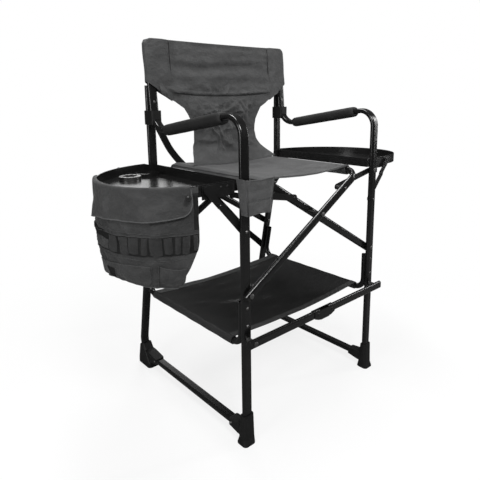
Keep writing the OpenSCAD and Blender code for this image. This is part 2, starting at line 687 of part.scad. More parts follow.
// The tray's cup hole and lobed hole are on the right side alone
module side_tray(s) on_side(s) difference() {
  translate([0, 0, tray_low_z]) linear_extrude(tray_h) tray_plan(0);
  translate([0, 0, tray_low_z + tray_wall]) linear_extrude(tray_h) tray_plan(tray_wall);
  if (s < 0) {
    translate([cup_u, cup_y, tray_low_z - 1]) cylinder(h = tray_h, d = cup_d);
    translate([lobe_u, lobe_y, tray_low_z - 1]) cylinder(h = tray_h, d = lobe_d);
  }
}

module tray_ring(u, y, d) on_side(-1) translate([u, y, tray_low_z + tray_wall + 0.1])
  children();

// A raised ring round the cup hole, with a collar that drops through the hole
module cup_ring() color(tube_colour) tray_ring(cup_u, cup_y) difference() {
  union() {
    cylinder(h = 9, d = cup_d + 8);
    translate([0, 0, -tray_wall - 8]) cylinder(h = 9 + tray_wall, d = cup_d - 2 * seat_gap);
  }
  translate([0, 0, -20]) cylinder(h = 40, d = cup_d - 6);
}

// A ring with eight lobes cut round its inside
module lobed_holder() color(steel_colour) tray_ring(lobe_u, lobe_y) difference() {
  union() {
    cylinder(h = 11, d = lobe_d + 10);
    translate([0, 0, -tray_wall - 6]) cylinder(h = 7 + tray_wall, d = lobe_d - 2 * seat_gap);
  }
  translate([0, 0, -20]) cylinder(h = 40, d = lobe_d - 14);
  for (k = [0:7]) rotate([0, 0, k * 45]) translate([lobe_d / 2 - 7, 0, -20])
    cylinder(h = 40, d = 9);
}

// Ears riveted to the tray: they turn on the hinge pins and carry the stay pins
module side_tray_ears(s) on_side(s) {
  hole = pin_d / 2 + pivot_clear;
  rear_ear_r = hinge_out - ear_t - 2 * seat_gap;
  // Front ear, flat on the rim
  translate([0, ear_front_y + ear_t / 2, 0]) rotate([90, 0, 0]) linear_extrude(ear_t)
    difference() {
      union() {
        translate([hinge_u, hinge_z]) circle(d = 15);
        translate([hinge_u - 7.5, hinge_z]) square([stay_tray_x - hinge_u + 16, tray_top_z - hinge_z - 3]);
      }
      translate([hinge_u, hinge_z]) circle(r = hole);
    }
  // Rear ear, under the tray floor beside the rear leg
  translate([0, ear_rear_y + ear_t / 2, 0]) rotate([90, 0, 0]) linear_extrude(ear_t)
    difference() {
      union() {
        translate([hinge_u, hinge_z]) circle(rear_ear_r);
        translate([hinge_u - rear_ear_r, hinge_z])
          square([38, hinge_drop - seat_gap]);
      }
      translate([hinge_u, hinge_z]) circle(r = hole);
    }
  translate([notch_u + 3, ear_rear_y, tray_low_z - 0.3 - ear_t]) cube([34, 18, ear_t]);
  // Bosses that carry the stays, front and rear
  shank_y(stay_tray_x, stay_tray_z, stay_front_upper_y + flat_t / 2 + 0.3,
    ear_front_y, pin_d / 2 + 2);
  difference() {
    shank_y(stay_tray_x, stay_tray_z, tray_curve_y + tray_rear_r * 0.8,
      stay_rear_upper_y - flat_t / 2 - 0.3, pin_d / 2 + 2);
    translate([0, 0, tray_low_z - 20]) linear_extrude(tray_h + 40) tray_plan(-seat_gap);
  }
  for (u = [hinge_u + 14, hinge_u + 34])
    rivet_y(u, ear_front_y - ear_t / 2 - 0.05, tray_top_z - 12, 1);
}

// The short links lie behind the long ones, the rear one behind the tray's whole rim
stay_front_upper_y = stay_front_y + flat_t + 0.5;
stay_rear_upper_y = tray_curve_y + tray_rear_r + 1 + flat_t / 2;
knee = [stay_long * cos(stay_angle), stay_leg_z + stay_long * sin(stay_angle)];

module side_stay_lower(s) on_side(s)
  for (e = [[stay_front_y, stay_front_upper_y], [stay_rear_y, stay_rear_upper_y]]) {
    flat_bar([0, stay_leg_z], knee, e[0], pin_d / 2 + pivot_clear, 0);
    shank_y(knee[0], knee[1], e[0], e[1] + flat_t / 2 + 0.8, pin_d / 2);
    if (e[1] - e[0] > 2 * flat_t)
      shank_y(knee[0], knee[1], e[0] + 0.5, e[1] - flat_t / 2 - 0.3, pin_d / 2 + 2);
    rivet_y(knee[0], e[1] + flat_t / 2 + 0.3, knee[1], -1);
    rivet_y(knee[0], e[0] - flat_t / 2 + 0.01, knee[1], 1);
  }

module side_stay_upper(s) on_side(s) for (y = [stay_front_upper_y, stay_rear_upper_y])
  flat_bar(knee, [stay_tray_x, stay_tray_z], y, pin_d / 2 + pivot_clear, 0);

// Points of a shallow sag from x0 to x1, hanging by drop in the middle
function sag(x0, x1, z, drop, n = 16) =
  [for (k = [0:n]) let (t = k / n) [x0 + (x1 - x0) * t, z - drop * 4 * t * (1 - t)]];

function reversed(a) = [for (k = [len(a) - 1:-1:0]) a[k]];

// A sheet of fabric along Y with a sagging section
module sagging_sheet(x0, x1, z, drop, y0, y1) translate([0, y1, 0]) rotate([90, 0, 0])
  linear_extrude(y1 - y0) polygon(concat(sag(x0, x1, z, drop),
    reversed(sag(x0, x1, z - cloth_t, drop))));

seat_front_y = 26;
seat_rear_y = b_rear_y - x_bend_r - 2;
seat_rear_a_y = a_rear_y - x_bend_r - 2;
seat_cover = x_tube_w + 2 * (cloth_t + 1);

module seat_sling() color(cloth_colour) seated() difference() {
  top_z = seat_rail_z + x_tube_w / 2;
  union() {
    sagging_sheet(-seat_rail_x, seat_rail_x, top_z + cloth_t + 0.6, seat_sag,
      seat_front_y, seat_rear_y);
    for (s = [-1, 1]) {
      y0 = s > 0 ? seat_front_y : seat_front_y + b_front_y - a_front_y;
      y1 = s > 0 ? seat_rear_a_y : seat_rear_y;
      translate([s * seat_rail_x, y0, seat_rail_z]) rotate([-90, 0, 0])
        linear_extrude(y1 - y0) rotate(90 - s * arm_rise)
          flat_oval(seat_cover, x_tube_t + 2 * (cloth_t + 1));
    }
  }
  for (s = [-1, 1]) translate([s * seat_rail_x, -100, seat_rail_z]) rotate([-90, 0, 0])
    linear_extrude(800) rotate(90 - s * arm_rise)
      flat_oval(x_tube_w + 2 * seat_gap, x_tube_t + 2 * seat_gap);
}

// Front outline of the back: a wide band over the posts, narrowing to a neck
back_half = side_x + tube_w / 2 + cloth_t;
neck_z = seat_rail_z + 96;
module back_outline() {
  foot_x = seat_rail_x - 12;
  // Heights here run along the lean of the posts
  seat_z = (seat_rail_z + x_tube_w / 2 + cloth_t + 1.5) / cos(post_lean);
  half = [[back_half, back_low_z + 22], [back_half - 8, back_low_z], [side_x - 25, back_low_z - 27],
    [neck_x + 34, back_low_z - 78], [neck_x + 10, back_low_z - 124], [neck_x, neck_z + 14],
    [neck_x + 6, neck_z - 26], [foot_x - 12, seat_z + 20]];
  right = concat([[back_half - 10, back_top_z], [back_half, back_top_z - 12]], half);
  polygon(concat(right, reversed(sag(-foot_x, foot_x, seat_z, seat_sag)),
    [for (p = reversed(right)) [-p[0], p[1]]]));
}

// The sling lies on the posts' front faces; sleeves go round the posts behind it
module back_sling() color(cloth_colour) seated() {
  face = tube_t / 2 / cos(post_lean) + 1;
  sleeve_z = back_low_z + 10;
  translate([0, post_y(0) - face - cloth_t, 0]) rotate([-post_lean, 0, 0])
    rotate([90, 0, 0]) mirror([0, 0, 1]) linear_extrude(cloth_t) back_outline();
  for (s = [-1, 1]) translate([s * side_x, post_y(sleeve_z), sleeve_z])
    rotate([-post_lean, 0, 0]) linear_extrude(post_top_z - sleeve_z + 8) difference() {
      flat_oval(tube_w + 2 * cloth_t + 2, tube_t + 2 * cloth_t + 1.8);
      flat_oval(tube_w + 1.6, tube_t + 1.6);
    }
}

module shelf_mesh() color([0.05, 0.05, 0.05]) seated() difference() {
  y0 = shelf_front_centre[0];
  y1 = shelf_rear_centre[0];
  union() {
    sagging_sheet(-side_x, side_x, shelf_z + shelf_d / 2 + 1.8, shelf_sag, y0, y1);
    for (s = [-1, 1]) translate([s * side_x, y0, shelf_z]) rotate([-90, 0, 0])
      cylinder(h = y1 - y0, d = shelf_d + 4.2);
  }
  for (s = [-1, 1]) translate([s * side_x, -50, shelf_z]) rotate([-90, 0, 0])
    cylinder(h = 700, d = shelf_d + 2 * seat_gap);
}

// A flat pocket that wraps the right front leg from its outer side. Its front lies
// before tube a, which passes behind it as the chair folds.
module phone_pouch() color(cloth_colour) on_side(-1) {
  back_y = a_front_y - x_tube_t / 2 - 1;
  side_u = tube_w / 2 + seat_gap;
  side_t = cloth_t + 1;
  low = tray_top_z + 2 - phone_h;
  translate([side_u + side_t - phone_w / 2, back_y - phone_t / 2, low])
    pad(phone_w, phone_t, phone_h, 3);
  translate([side_u, back_y - 2, low]) cube([side_t, 2 - back_y - 9, phone_h]);
  translate([side_u, -9.5, low]) cube([side_t, 19.5, hinge_z - 9 - low]);
}

// Part of the plan that the tool pouch covers, as a band out from the rim
module pouch_band(i, o, front_u = pouch_front_u, turn = pouch_rear_turn) intersection() {
  difference() {
    tray_plan(-o);
    tray_plan(-i);
  }
  union() {
    translate([front_u, tray_front_y - 60]) square([300, 60 + tray_wide_y + 1]);
    translate([tray_reach - tray_rear_r, tray_curve_y]) difference() {
      intersection() {
        square(400);
        rotate(turn - 90) square(400);
      }
      circle(tray_rear_r / 2);
    }
  }
}

pouch_top_z = tray_top_z - 4;

module tool_pouch() color(cloth_colour) on_side(-1) difference() {
  translate([0, 0, pouch_low_z]) linear_extrude(pouch_top_z - pouch_low_z)
    pouch_band(pouch_gap, pouch_gap + pouch_t);
  // The lower front corner is cut away at a slant
  translate([pouch_front_u, tray_front_y - 60, pouch_low_z + 70]) rotate([0, 45, 0])
    translate([-100, 0, -200]) cube([300, 220, 200]);
}

// The flap lies over the pouch and turns in over the rim
module pouch_flap() color(cloth_colour) on_side(-1) {
  outer = pouch_gap + pouch_t + 0.3;
  translate([0, 0, tray_top_z - flap_h]) linear_extrude(flap_h + 2)
    pouch_band(outer, outer + flap_t, pouch_front_u + 22);
  translate([0, 0, tray_top_z + 0.4]) linear_extrude(1.6)
    pouch_band(-4, outer + flap_t, pouch_front_u + 22);
}

// Points round the rim, by length from the flap's rear end: [u, y, direction out]
rear_arc = tray_rear_r * pouch_rear_turn * PI / 180;
front_arc = tray_front_r * 90 * PI / 180;
function rim_at(s, out) = s < rear_arc
  ? let (a = pouch_rear_turn - s / tray_rear_r * 180 / PI)
    [tray_reach - tray_rear_r + (tray_rear_r + out) * cos(a),
      tray_curve_y + (tray_rear_r + out) * sin(a), a]
  : let (a = -(s - rear_arc) / tray_front_r * 180 / PI)
    [tray_front_u + (tray_front_r + out) * cos(a),
      tray_front_y + tray_front_r + (tray_front_r + out) * sin(a), a];

module on_rim(s, out, z) let (p = rim_at(s, out)) translate([p[0], p[1], z])
  rotate([0, 0, p[2]]) children();

loop_step = (front_arc - 26) / (loops - 4);
loop_first = rear_arc - 3 * loop_step;

module brush_loops() color(cloth_colour) on_side(-1) for (k = [0:loops - 1])
  on_rim(loop_first + k * loop_step, pouch_gap + pouch_t + 0.5, loop_z)
    linear_extrude(loop_h) difference() {
      intersection() {
        loop_plan(12, loop_out);
        translate([0, -20]) square(40);
      }
      loop_plan(10, loop_out - 2);
    }

// Half of this rounded shape is one raised loop, w to each side and h out
module loop_plan(w, h) {
  square([2 * h, 2 * (w - h)], center = true);
  for (s = [-1, 1]) translate([0, s * (w - h)]) circle(h);
}

module pouch_button() color(plastic_colour) on_side(-1)
  on_rim(rear_arc + front_arc - 40, pouch_gap + pouch_t + flap_t + 0.5, tray_top_z - 22)
    rotate([0, 90, 0]) {
      cylinder(h = 1.6, r = 8);
      translate([0, 0, 1.6]) cylinder(h = 1.2, r1 = 6.5, r2 = 4);
    }

module pouch_tab() color(plastic_colour) on_side(-1)
  on_rim(rear_arc + 6, pouch_gap + pouch_t + 0.3, pouch_low_z + 18)
    translate([0, -14, 0]) cube([1.6, 28, 34]);

// Route of the carrying strap behind the chair: [x, y, z] of its middle line
strap_t = 2;
strap_route = [[-272, 452.8, 896], [-256, 452.8, 873], [-238, 459, 847], [-211, 476, 812],
  [-180, 496, 776], [-140, 514, 738], [-84, 527, 688], [-14, 530, 621], [59, 533, 548],
  [134, 535, 471], [212, 533, 390], [246, 529, 360], [275, 526.6, 334], [288, 529, 322]];

module carry_strap() color(plastic_colour) seated() {
  n = len(strap_route);
  half = [for (k = [0:n - 1]) let (a = strap_route[max(0, k - 1)],
    b = strap_route[min(n - 1, k + 1)], d = [b[0] - a[0], b[2] - a[2]] / norm([b[0] - a[0], b[2] - a[2]]))
    [-d[1], d[0]] * strap_w / 2];
  corners = [for (k = [0:n - 1]) let (p = strap_route[k], h = half[k], t = strap_t / 2)
    for (c = [[1, -1], [1, 1], [-1, 1], [-1, -1]])
      [p[0] + c[0] * h[0], p[1] + c[1] * t, p[2] + c[0] * h[1]]];
  sides = [for (k = [0:n - 2], j = [0:3]) let (a = 4 * k + j, b = 4 * k + (j + 1) % 4)
    [a, b, b + 4, a + 4]];
  polyhedron(corners, concat([[3, 2, 1, 0]], sides,
    [[4 * n - 4, 4 * n - 3, 4 * n - 2, 4 * n - 1]]));
}

module right_arm_tube() color(tube_colour) side_arm_tube(-1);
module left_arm_tube() color(tube_colour) side_arm_tube(1);
module right_base_tube() color(tube_colour) side_base_tube(-1);
module left_base_tube() color(tube_colour) side_base_tube(1);
module right_front_foot() color(plastic_colour) side_front_foot(-1);
module left_front_foot() color(plastic_colour) side_front_foot(1);
module right_rear_foot() color(plastic_colour) side_rear_foot(-1);
module left_rear_foot() color(plastic_colour) side_rear_foot(1);
module right_rear_clamp() color(plastic_colour) side_rear_clamp(-1);
module left_rear_clamp() color(plastic_colour) side_rear_clamp(1);
module right_arm_grip() color(cloth_colour) side_arm_grip(-1);
module left_arm_grip() color(cloth_colour) side_arm_grip(1);
module right_leg_plug() color(plastic_colour) side_leg_plug(-1);
module left_leg_plug() color(plastic_colour) side_leg_plug(1);
module right_shelf_rail() color(tube_colour) side_shelf_rail(-1);
module left_shelf_rail() color(tube_colour) side_shelf_rail(1);
module right_frame_bolts() color(steel_colour) side_frame_bolts(-1);
module left_frame_bolts() color(steel_colour) side_frame_bolts(1);
module right_hinge_brackets() color(tube_colour) side_hinge_brackets(-1);
module left_hinge_brackets() color(tube_colour) side_hinge_brackets(1);
module right_tray() color(tube_colour) side_tray(-1);
module left_tray() color(tube_colour) side_tray(1);
module right_tray_ears() color(plastic_colour) side_tray_ears(-1);
module left_tray_ears() color(plastic_colour) side_tray_ears(1);
module right_stay_lower() color(tube_colour) side_stay_lower(-1);
module left_stay_lower() color(tube_colour) side_stay_lower(1);
module right_stay_upper() color(tube_colour) side_stay_upper(-1);
module left_stay_upper() color(tube_colour) side_stay_upper(1);

right_arm_tube();
left_arm_tube();
right_base_tube();
left_base_tube();
right_front_foot();
left_front_foot();
right_rear_foot();
left_rear_foot();
right_rear_clamp();
left_rear_clamp();
right_arm_grip();
left_arm_grip();
right_leg_plug();
left_leg_plug();
right_shelf_rail();
left_shelf_rail();
right_frame_bolts();
left_frame_bolts();
right_hinge_brackets();
left_hinge_brackets();
scissor_tube_a();
scissor_tube_b();
arm_plugs_a();
arm_plugs_b();
cross_bolts();
arm_rivet_a();
arm_rivet_b();
right_link();
left_link();
right_bar_half();
left_bar_half();
bar_knee_plate();
right_bar_cap();
left_bar_cap();
right_tray();
left_tray();
right_tray_ears();
left_tray_ears();
right_stay_lower();
left_stay_lower();
right_stay_upper();
left_stay_upper();
cup_ring();
lobed_holder();
seat_sling();
back_sling();
shelf_mesh();
phone_pouch();
tool_pouch();
pouch_flap();
brush_loops();
pouch_button();
pouch_tab();
carry_strap();
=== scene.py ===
import math

import bpy
import numpy as np
from mathutils import Matrix, Vector, noise


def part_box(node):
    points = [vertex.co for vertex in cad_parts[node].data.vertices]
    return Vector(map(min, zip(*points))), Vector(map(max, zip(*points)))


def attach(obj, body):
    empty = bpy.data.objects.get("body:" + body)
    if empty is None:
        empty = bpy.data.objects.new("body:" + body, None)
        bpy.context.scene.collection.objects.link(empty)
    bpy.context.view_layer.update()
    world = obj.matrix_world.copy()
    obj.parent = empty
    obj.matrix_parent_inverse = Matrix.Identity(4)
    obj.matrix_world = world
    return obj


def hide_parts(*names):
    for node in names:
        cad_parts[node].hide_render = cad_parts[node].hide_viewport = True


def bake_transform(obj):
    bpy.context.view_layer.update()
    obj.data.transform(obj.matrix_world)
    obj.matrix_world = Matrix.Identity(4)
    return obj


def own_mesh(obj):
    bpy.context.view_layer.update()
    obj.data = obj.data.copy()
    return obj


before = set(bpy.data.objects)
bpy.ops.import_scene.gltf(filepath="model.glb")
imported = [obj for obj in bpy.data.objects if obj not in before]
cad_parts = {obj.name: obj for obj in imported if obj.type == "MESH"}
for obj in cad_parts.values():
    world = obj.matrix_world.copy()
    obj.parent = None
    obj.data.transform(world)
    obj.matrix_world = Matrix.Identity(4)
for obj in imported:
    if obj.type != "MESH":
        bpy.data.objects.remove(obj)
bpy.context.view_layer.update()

# Lengths here are millimetres from the front legs' centre line on the middle plane,
# as in the part's source. OFF moves them to the row's origin.
SIDE = 280.0
low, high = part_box("right_arm_tube")
OFF = np.array([(low.x + high.x) / 2 * 1000 + SIDE, low.y * 1000 + 7.5, 0.0])
LEAN = math.radians(5)
RISE = math.radians(31)


def place(x, y=0.0, z=0.0):
    """A point in these millimetres as metres from the row's origin."""
    return tuple((np.array([x, y, z]) + OFF) / 1000)


def post_y(z):
    """Middle of the leaning back post at a height."""
    return 417.7 + (z - 907.5) * math.tan(LEAN)


def ease(a, b, x):
    """Smooth step from 0 at a to 1 at b, where b may be the smaller."""
    t = np.clip((np.asarray(x, float) - a) / (b - a), 0, 1)
    return t * t * (3 - 2 * t)


def table_at(x, table):
    """Value at x of a table of [x, value] rows in rising order, straight between them."""
    return np.interp(x, [r[0] for r in table], [r[1] for r in table])


def folds(p, size, seed):
    """Smooth noise at the points p (n x 3) with features of the given size."""
    size = np.asarray(size, float) * np.ones(3)
    q = np.asarray(p, float).reshape(-1, 3) / size + seed * 7.31
    return np.array([noise.noise(Vector(v)) for v in q]).reshape(np.shape(p)[:-1])


# Materials
def tree(name):
    m = bpy.data.materials.new(name)
    m.use_nodes = True
    nt = m.node_tree
    bsdf = nt.nodes["Principled BSDF"]
    return m, nt, bsdf


def coords(nt, scale=(1, 1, 1), turn=(0, 0, 0)):
    tc = nt.nodes.new("ShaderNodeTexCoord")
    mp = nt.nodes.new("ShaderNodeMapping")
    mp.inputs["Scale"].default_value = scale
    mp.inputs["Rotation"].default_value = turn
    nt.links.new(tc.outputs["Object"], mp.inputs["Vector"])
    return mp.outputs["Vector"]


def noise_node(nt, vec, scale, detail=3.0, rough=0.5):
    n = nt.nodes.new("ShaderNodeTexNoise")
    n.inputs["Scale"].default_value = scale
    n.inputs["Detail"].default_value = detail
    n.inputs["Roughness"].default_value = rough
    nt.links.new(vec, n.inputs["Vector"])
    return n.outputs["Fac"]


def wave_node(nt, vec, scale, axis, distort=0.0):
    n = nt.nodes.new("ShaderNodeTexWave")
    n.wave_type = "BANDS"
    n.bands_direction = axis
    n.inputs["Scale"].default_value = scale
    n.inputs["Distortion"].default_value = distort
    nt.links.new(vec, n.inputs["Vector"])
    return n.outputs["Fac"]


def ramp(nt, fac, stops):
    r = nt.nodes.new("ShaderNodeValToRGB")
    el = r.color_ramp.elements
    el[0].position, el[0].color = stops[0][0], tuple(stops[0][1]) + (1,)
    el[1].position, el[1].color = stops[-1][0], tuple(stops[-1][1]) + (1,)
    for pos, col in stops[1:-1]:
        e = el.new(pos)
        e.color = tuple(col) + (1,)
    nt.links.new(fac, r.inputs["Fac"])
    return r.outputs["Color"]


def math_node(nt, op, a, b):
    n = nt.nodes.new("ShaderNodeMath")
    n.operation = op
    for i, v in enumerate((a, b)):
        if hasattr(v, "is_linked"):
            nt.links.new(v, n.inputs[i])
        else:
            n.inputs[i].default_value = v
    return n.outputs[0]


def to_range(nt, fac, lo, hi):
    n = nt.nodes.new("ShaderNodeMapRange")
    n.inputs["To Min"].default_value = lo
    n.inputs["To Max"].default_value = hi
    nt.links.new(fac, n.inputs["Value"])
    return n.outputs["Result"]


def bump(nt, bsdf, height, strength, distance):
    b = nt.nodes.new("ShaderNodeBump")
    b.inputs["Strength"].default_value = strength
    b.inputs["Distance"].default_value = distance
    nt.links.new(height, b.inputs["Height"])
    nt.links.new(b.outputs["Normal"], bsdf.inputs["Normal"])


def mix_colour(nt, fac, a, b, mode="MIX"):
    n = nt.nodes.new("ShaderNodeMix")
    n.data_type = "RGBA"
    n.blend_type = mode
    if hasattr(fac, "is_linked"):
        nt.links.new(fac, n.inputs[0])
    else:
        n.inputs[0].default_value = fac
    for i, v in ((6, a), (7, b)):
        if hasattr(v, "is_linked"):
            nt.links.new(v, n.inputs[i])
        else:
            n.inputs[i].default_value = tuple(v) + (1,)
    return n.outputs[2]


def grey(v, warm=0.0):
    return (v * (1 + warm), v, v * (1 - warm))


def canvas(name, tone, thread=1.5, worn=1.0, crumple=1.0):
    """Woven polyester: crossed threads, slubs, heathered fibres, paler worn patches, creases with
    painted shade in the valleys and painted highlight on the ridges.
    """
    m, nt, bsdf = tree(name)
    vec = coords(nt)
    scale = 0.314 / (thread / 1000)
    wx = wave_node(nt, vec, scale, "X", 0.6)
    wz = wave_node(nt, vec, scale, "Z", 0.6)
    wy = wave_node(nt, vec, scale, "Y", 0.6)
    weave = math_node(nt, "ADD", math_node(nt, "MULTIPLY", wx, wz), math_node(nt, "MULTIPLY", wy, wz))
    fibre = noise_node(nt, vec, 900, 4, 0.7)
    slub = noise_node(nt, coords(nt, (12, 12, 500)), 1.0, 2, 0.6)
    patch = noise_node(nt, vec, 9, 4, 0.6)
    broad = noise_node(nt, vec, 2.6, 2, 0.5)
    # Soft creases: painted shade darkens the colour in their valleys, and painted highlight, scaled by
    # worn, lightens it on their ridges
    fold = noise_node(nt, coords(nt, (1, 1, 1.5), (0.35, 0.5, 0.2)), 21, 5, 0.58)
    base = ramp(nt, patch, [(0.25, grey(tone * 0.78, -0.01)), (0.55, grey(tone, -0.01)),
                            (0.85, grey(tone * (1.0 + 0.28 * worn), 0.0))])
    # Painted shade in the crease valleys and painted highlight on the crease ridges, multiplied into
    # the colour
    crease_light_and_shade = ramp(nt, fold, [(0.36, grey(0.80)), (0.52, grey(1.0)), (0.64, grey(1.0 + 0.22 * worn))])
    base = mix_colour(nt, 0.8, base, crease_light_and_shade, "MULTIPLY")
    tint = ramp(nt, math_node(nt, "ADD", math_node(nt, "MULTIPLY", fibre, 0.6),
                              math_node(nt, "MULTIPLY", slub, 0.4)),
                [(0.3, grey(0.76)), (0.7, grey(1.04))])
    col = mix_colour(nt, 0.8, base, tint, "MULTIPLY")
    shade = ramp(nt, broad, [(0.3, grey(0.84)), (0.7, grey(1.0))])
    col = mix_colour(nt, 0.8, col, shade, "MULTIPLY")
    nt.links.new(col, bsdf.inputs["Base Color"])
    nt.links.new(to_range(nt, fibre, 0.56, 0.80), bsdf.inputs["Roughness"])
    bsdf.inputs["Specular IOR Level"].default_value = 0.36
    bsdf.inputs["Sheen Weight"].default_value = 0.10
    bsdf.inputs["Sheen Roughness"].default_value = 0.5
    near = nt.nodes.new("ShaderNodeBump")
    near.inputs["Strength"].default_value = 0.75 * crumple
    near.inputs["Distance"].default_value = 0.006
    nt.links.new(fold, near.inputs["Height"])
    height = math_node(nt, "ADD", math_node(nt, "MULTIPLY", weave, 0.5),
                       math_node(nt, "MULTIPLY", fibre, 0.5))
    b = nt.nodes.new("ShaderNodeBump")
    b.inputs["Strength"].default_value = 0.55
    b.inputs["Distance"].default_value = 0.0006
    nt.links.new(height, b.inputs["Height"])
    nt.links.new(near.outputs["Normal"], b.inputs["Normal"])
    nt.links.new(b.outputs["Normal"], bsdf.inputs["Normal"])
    return m


def webbing(name, tone):
    m, nt, bsdf = tree(name)
    vec = coords(nt)
    rib = wave_node(nt, vec, 150, "DIAGONAL", 0.4)
    cross = wave_node(nt, vec, 150, "Z", 0.4)
    fibre = noise_node(nt, vec, 700, 4, 0.7)
    h = math_node(nt, "ADD", math_node(nt, "MULTIPLY", rib, cross),
                  math_node(nt, "MULTIPLY", fibre, 0.4))
    col = ramp(nt, h, [(0.1, grey(tone * 0.55)), (0.6, grey(tone)), (1.0, grey(tone * 1.5))])
    nt.links.new(col, bsdf.inputs["Base Color"])
    nt.links.new(to_range(nt, fibre, 0.6, 0.85), bsdf.inputs["Roughness"])
    bsdf.inputs["Specular IOR Level"].default_value = 0.3
    bump(nt, bsdf, h, 0.6, 0.0007)
    return m


def coated(name, tone, rough, spec, peel=0.08, scuff=0.5):
    """Powder-coated tube: fine orange peel, uneven gloss, a few pale scuffs."""
    m, nt, bsdf = tree(name)
    vec = coords(nt)
    peel_n = noise_node(nt, vec, 420, 2, 0.5)
    patch = noise_node(nt, vec, 14, 5, 0.65)
    streak = noise_node(nt, coords(nt, (60, 60, 7)), 3.0, 5, 0.75)
    worn = ramp(nt, streak, [(0.0, grey(tone)), (0.66, grey(tone)),
                             (0.74, grey(tone * (1 + 1.6 * scuff), 0.02))])
    shade = ramp(nt, patch, [(0.3, grey(0.75)), (0.7, grey(1.0))])
    nt.links.new(mix_colour(nt, 0.8, worn, shade, "MULTIPLY"), bsdf.inputs["Base Color"])
    nt.links.new(to_range(nt, patch, rough * 0.8, rough * 1.25), bsdf.inputs["Roughness"])
    bsdf.inputs["Specular IOR Level"].default_value = spec
    bsdf.inputs["Coat Weight"].default_value = 0.15
    bsdf.inputs["Coat Roughness"].default_value = 0.18
    bump(nt, bsdf, peel_n, peel, 0.0004)
    return m


def moulded(name, tone, rough, spec, grain=600, depth=0.25, dust=0.4):
    """Moulded plastic: fine grain, dust that dulls it in patches."""
    m, nt, bsdf = tree(name)
    vec = coords(nt)
    g = noise_node(nt, vec, grain, 3, 0.6)
    patch = noise_node(nt, vec, 11, 5, 0.7)
    speck = noise_node(nt, vec, 160, 2, 0.5)
    base = ramp(nt, patch, [(0.3, grey(tone * 0.85)), (0.75, grey(tone * (1 + dust)))])
    dirt = ramp(nt, speck, [(0.66, grey(1.0)), (0.78, grey(1.0 + dust))])
    nt.links.new(mix_colour(nt, 1.0, base, dirt, "MULTIPLY"), bsdf.inputs["Base Color"])
    nt.links.new(to_range(nt, patch, rough * 0.8, min(1.0, rough * 1.35)), bsdf.inputs["Roughness"])
    bsdf.inputs["Specular IOR Level"].default_value = spec
    bump(nt, bsdf, g, depth, 0.0003)
    return m


def metal(name, tone, rough):
    m, nt, bsdf = tree(name)
    vec = coords(nt)
    fine = noise_node(nt, coords(nt, (1, 1, 14)), 260, 4, 0.7)
    patch = noise_node(nt, vec, 70, 4, 0.6)
    col = ramp(nt, patch, [(0.25, grey(tone * 0.6, 0.02)), (0.6, grey(tone, 0.01)),
                           (0.9, grey(tone * 1.15))])
    nt.links.new(col, bsdf.inputs["Base Color"])
    bsdf.inputs["Metallic"].default_value = 1.0
    nt.links.new(to_range(nt, fine, rough * 0.75, rough * 1.3), bsdf.inputs["Roughness"])
    bump(nt, bsdf, fine, 0.12, 0.0002)
    return m


def foam(name, tone):
    m, nt, bsdf = tree(name)
    vec = coords(nt)
    cell = nt.nodes.new("ShaderNodeTexVoronoi")
    cell.inputs["Scale"].default_value = 420
    nt.links.new(vec, cell.inputs["Vector"])
    fine = noise_node(nt, vec, 800, 3, 0.6)
    patch = noise_node(nt, vec, 16, 4, 0.6)
    base = ramp(nt, patch, [(0.3, grey(tone * 0.75)), (0.75, grey(tone * 1.25))])
    pore = ramp(nt, cell.outputs["Distance"], [(0.0, grey(0.7)), (0.35, grey(1.0))])
    nt.links.new(mix_colour(nt, 0.8, base, pore, "MULTIPLY"), bsdf.inputs["Base Color"])
    nt.links.new(to_range(nt, fine, 0.62, 0.8), bsdf.inputs["Roughness"])
    bsdf.inputs["Specular IOR Level"].default_value = 0.35
    bump(nt, bsdf, math_node(nt, "ADD", cell.outputs["Distance"], fine), 0.4, 0.0007)
    return m


def open_mesh(name, tone, openness):
    """Black netting: crossed threads with small see-through holes."""
    m, nt, bsdf = tree(name)
    vec = coords(nt)
    wx = wave_node(nt, vec, 130, "X")
    wy = wave_node(nt, vec, 130, "Y")
    hole = math_node(nt, "MULTIPLY", wx, wy)
    fibre = noise_node(nt, vec, 500, 3, 0.6)
    base = ramp(nt, fibre, [(0.3, grey(tone * 0.7)), (0.8, grey(tone * 1.4))])
    nt.links.new(base, bsdf.inputs["Base Color"])
    bsdf.inputs["Roughness"].default_value = 0.7
    bsdf.inputs["Specular IOR Level"].default_value = 0.3
    bump(nt, bsdf, hole, 0.6, 0.0006)
    solid = ramp(nt, hole, [(1 - openness * 1.6, grey(1.0)), (1 - openness * 1.2, grey(0.0))])
    nt.links.new(solid, bsdf.inputs["Alpha"])
    return m


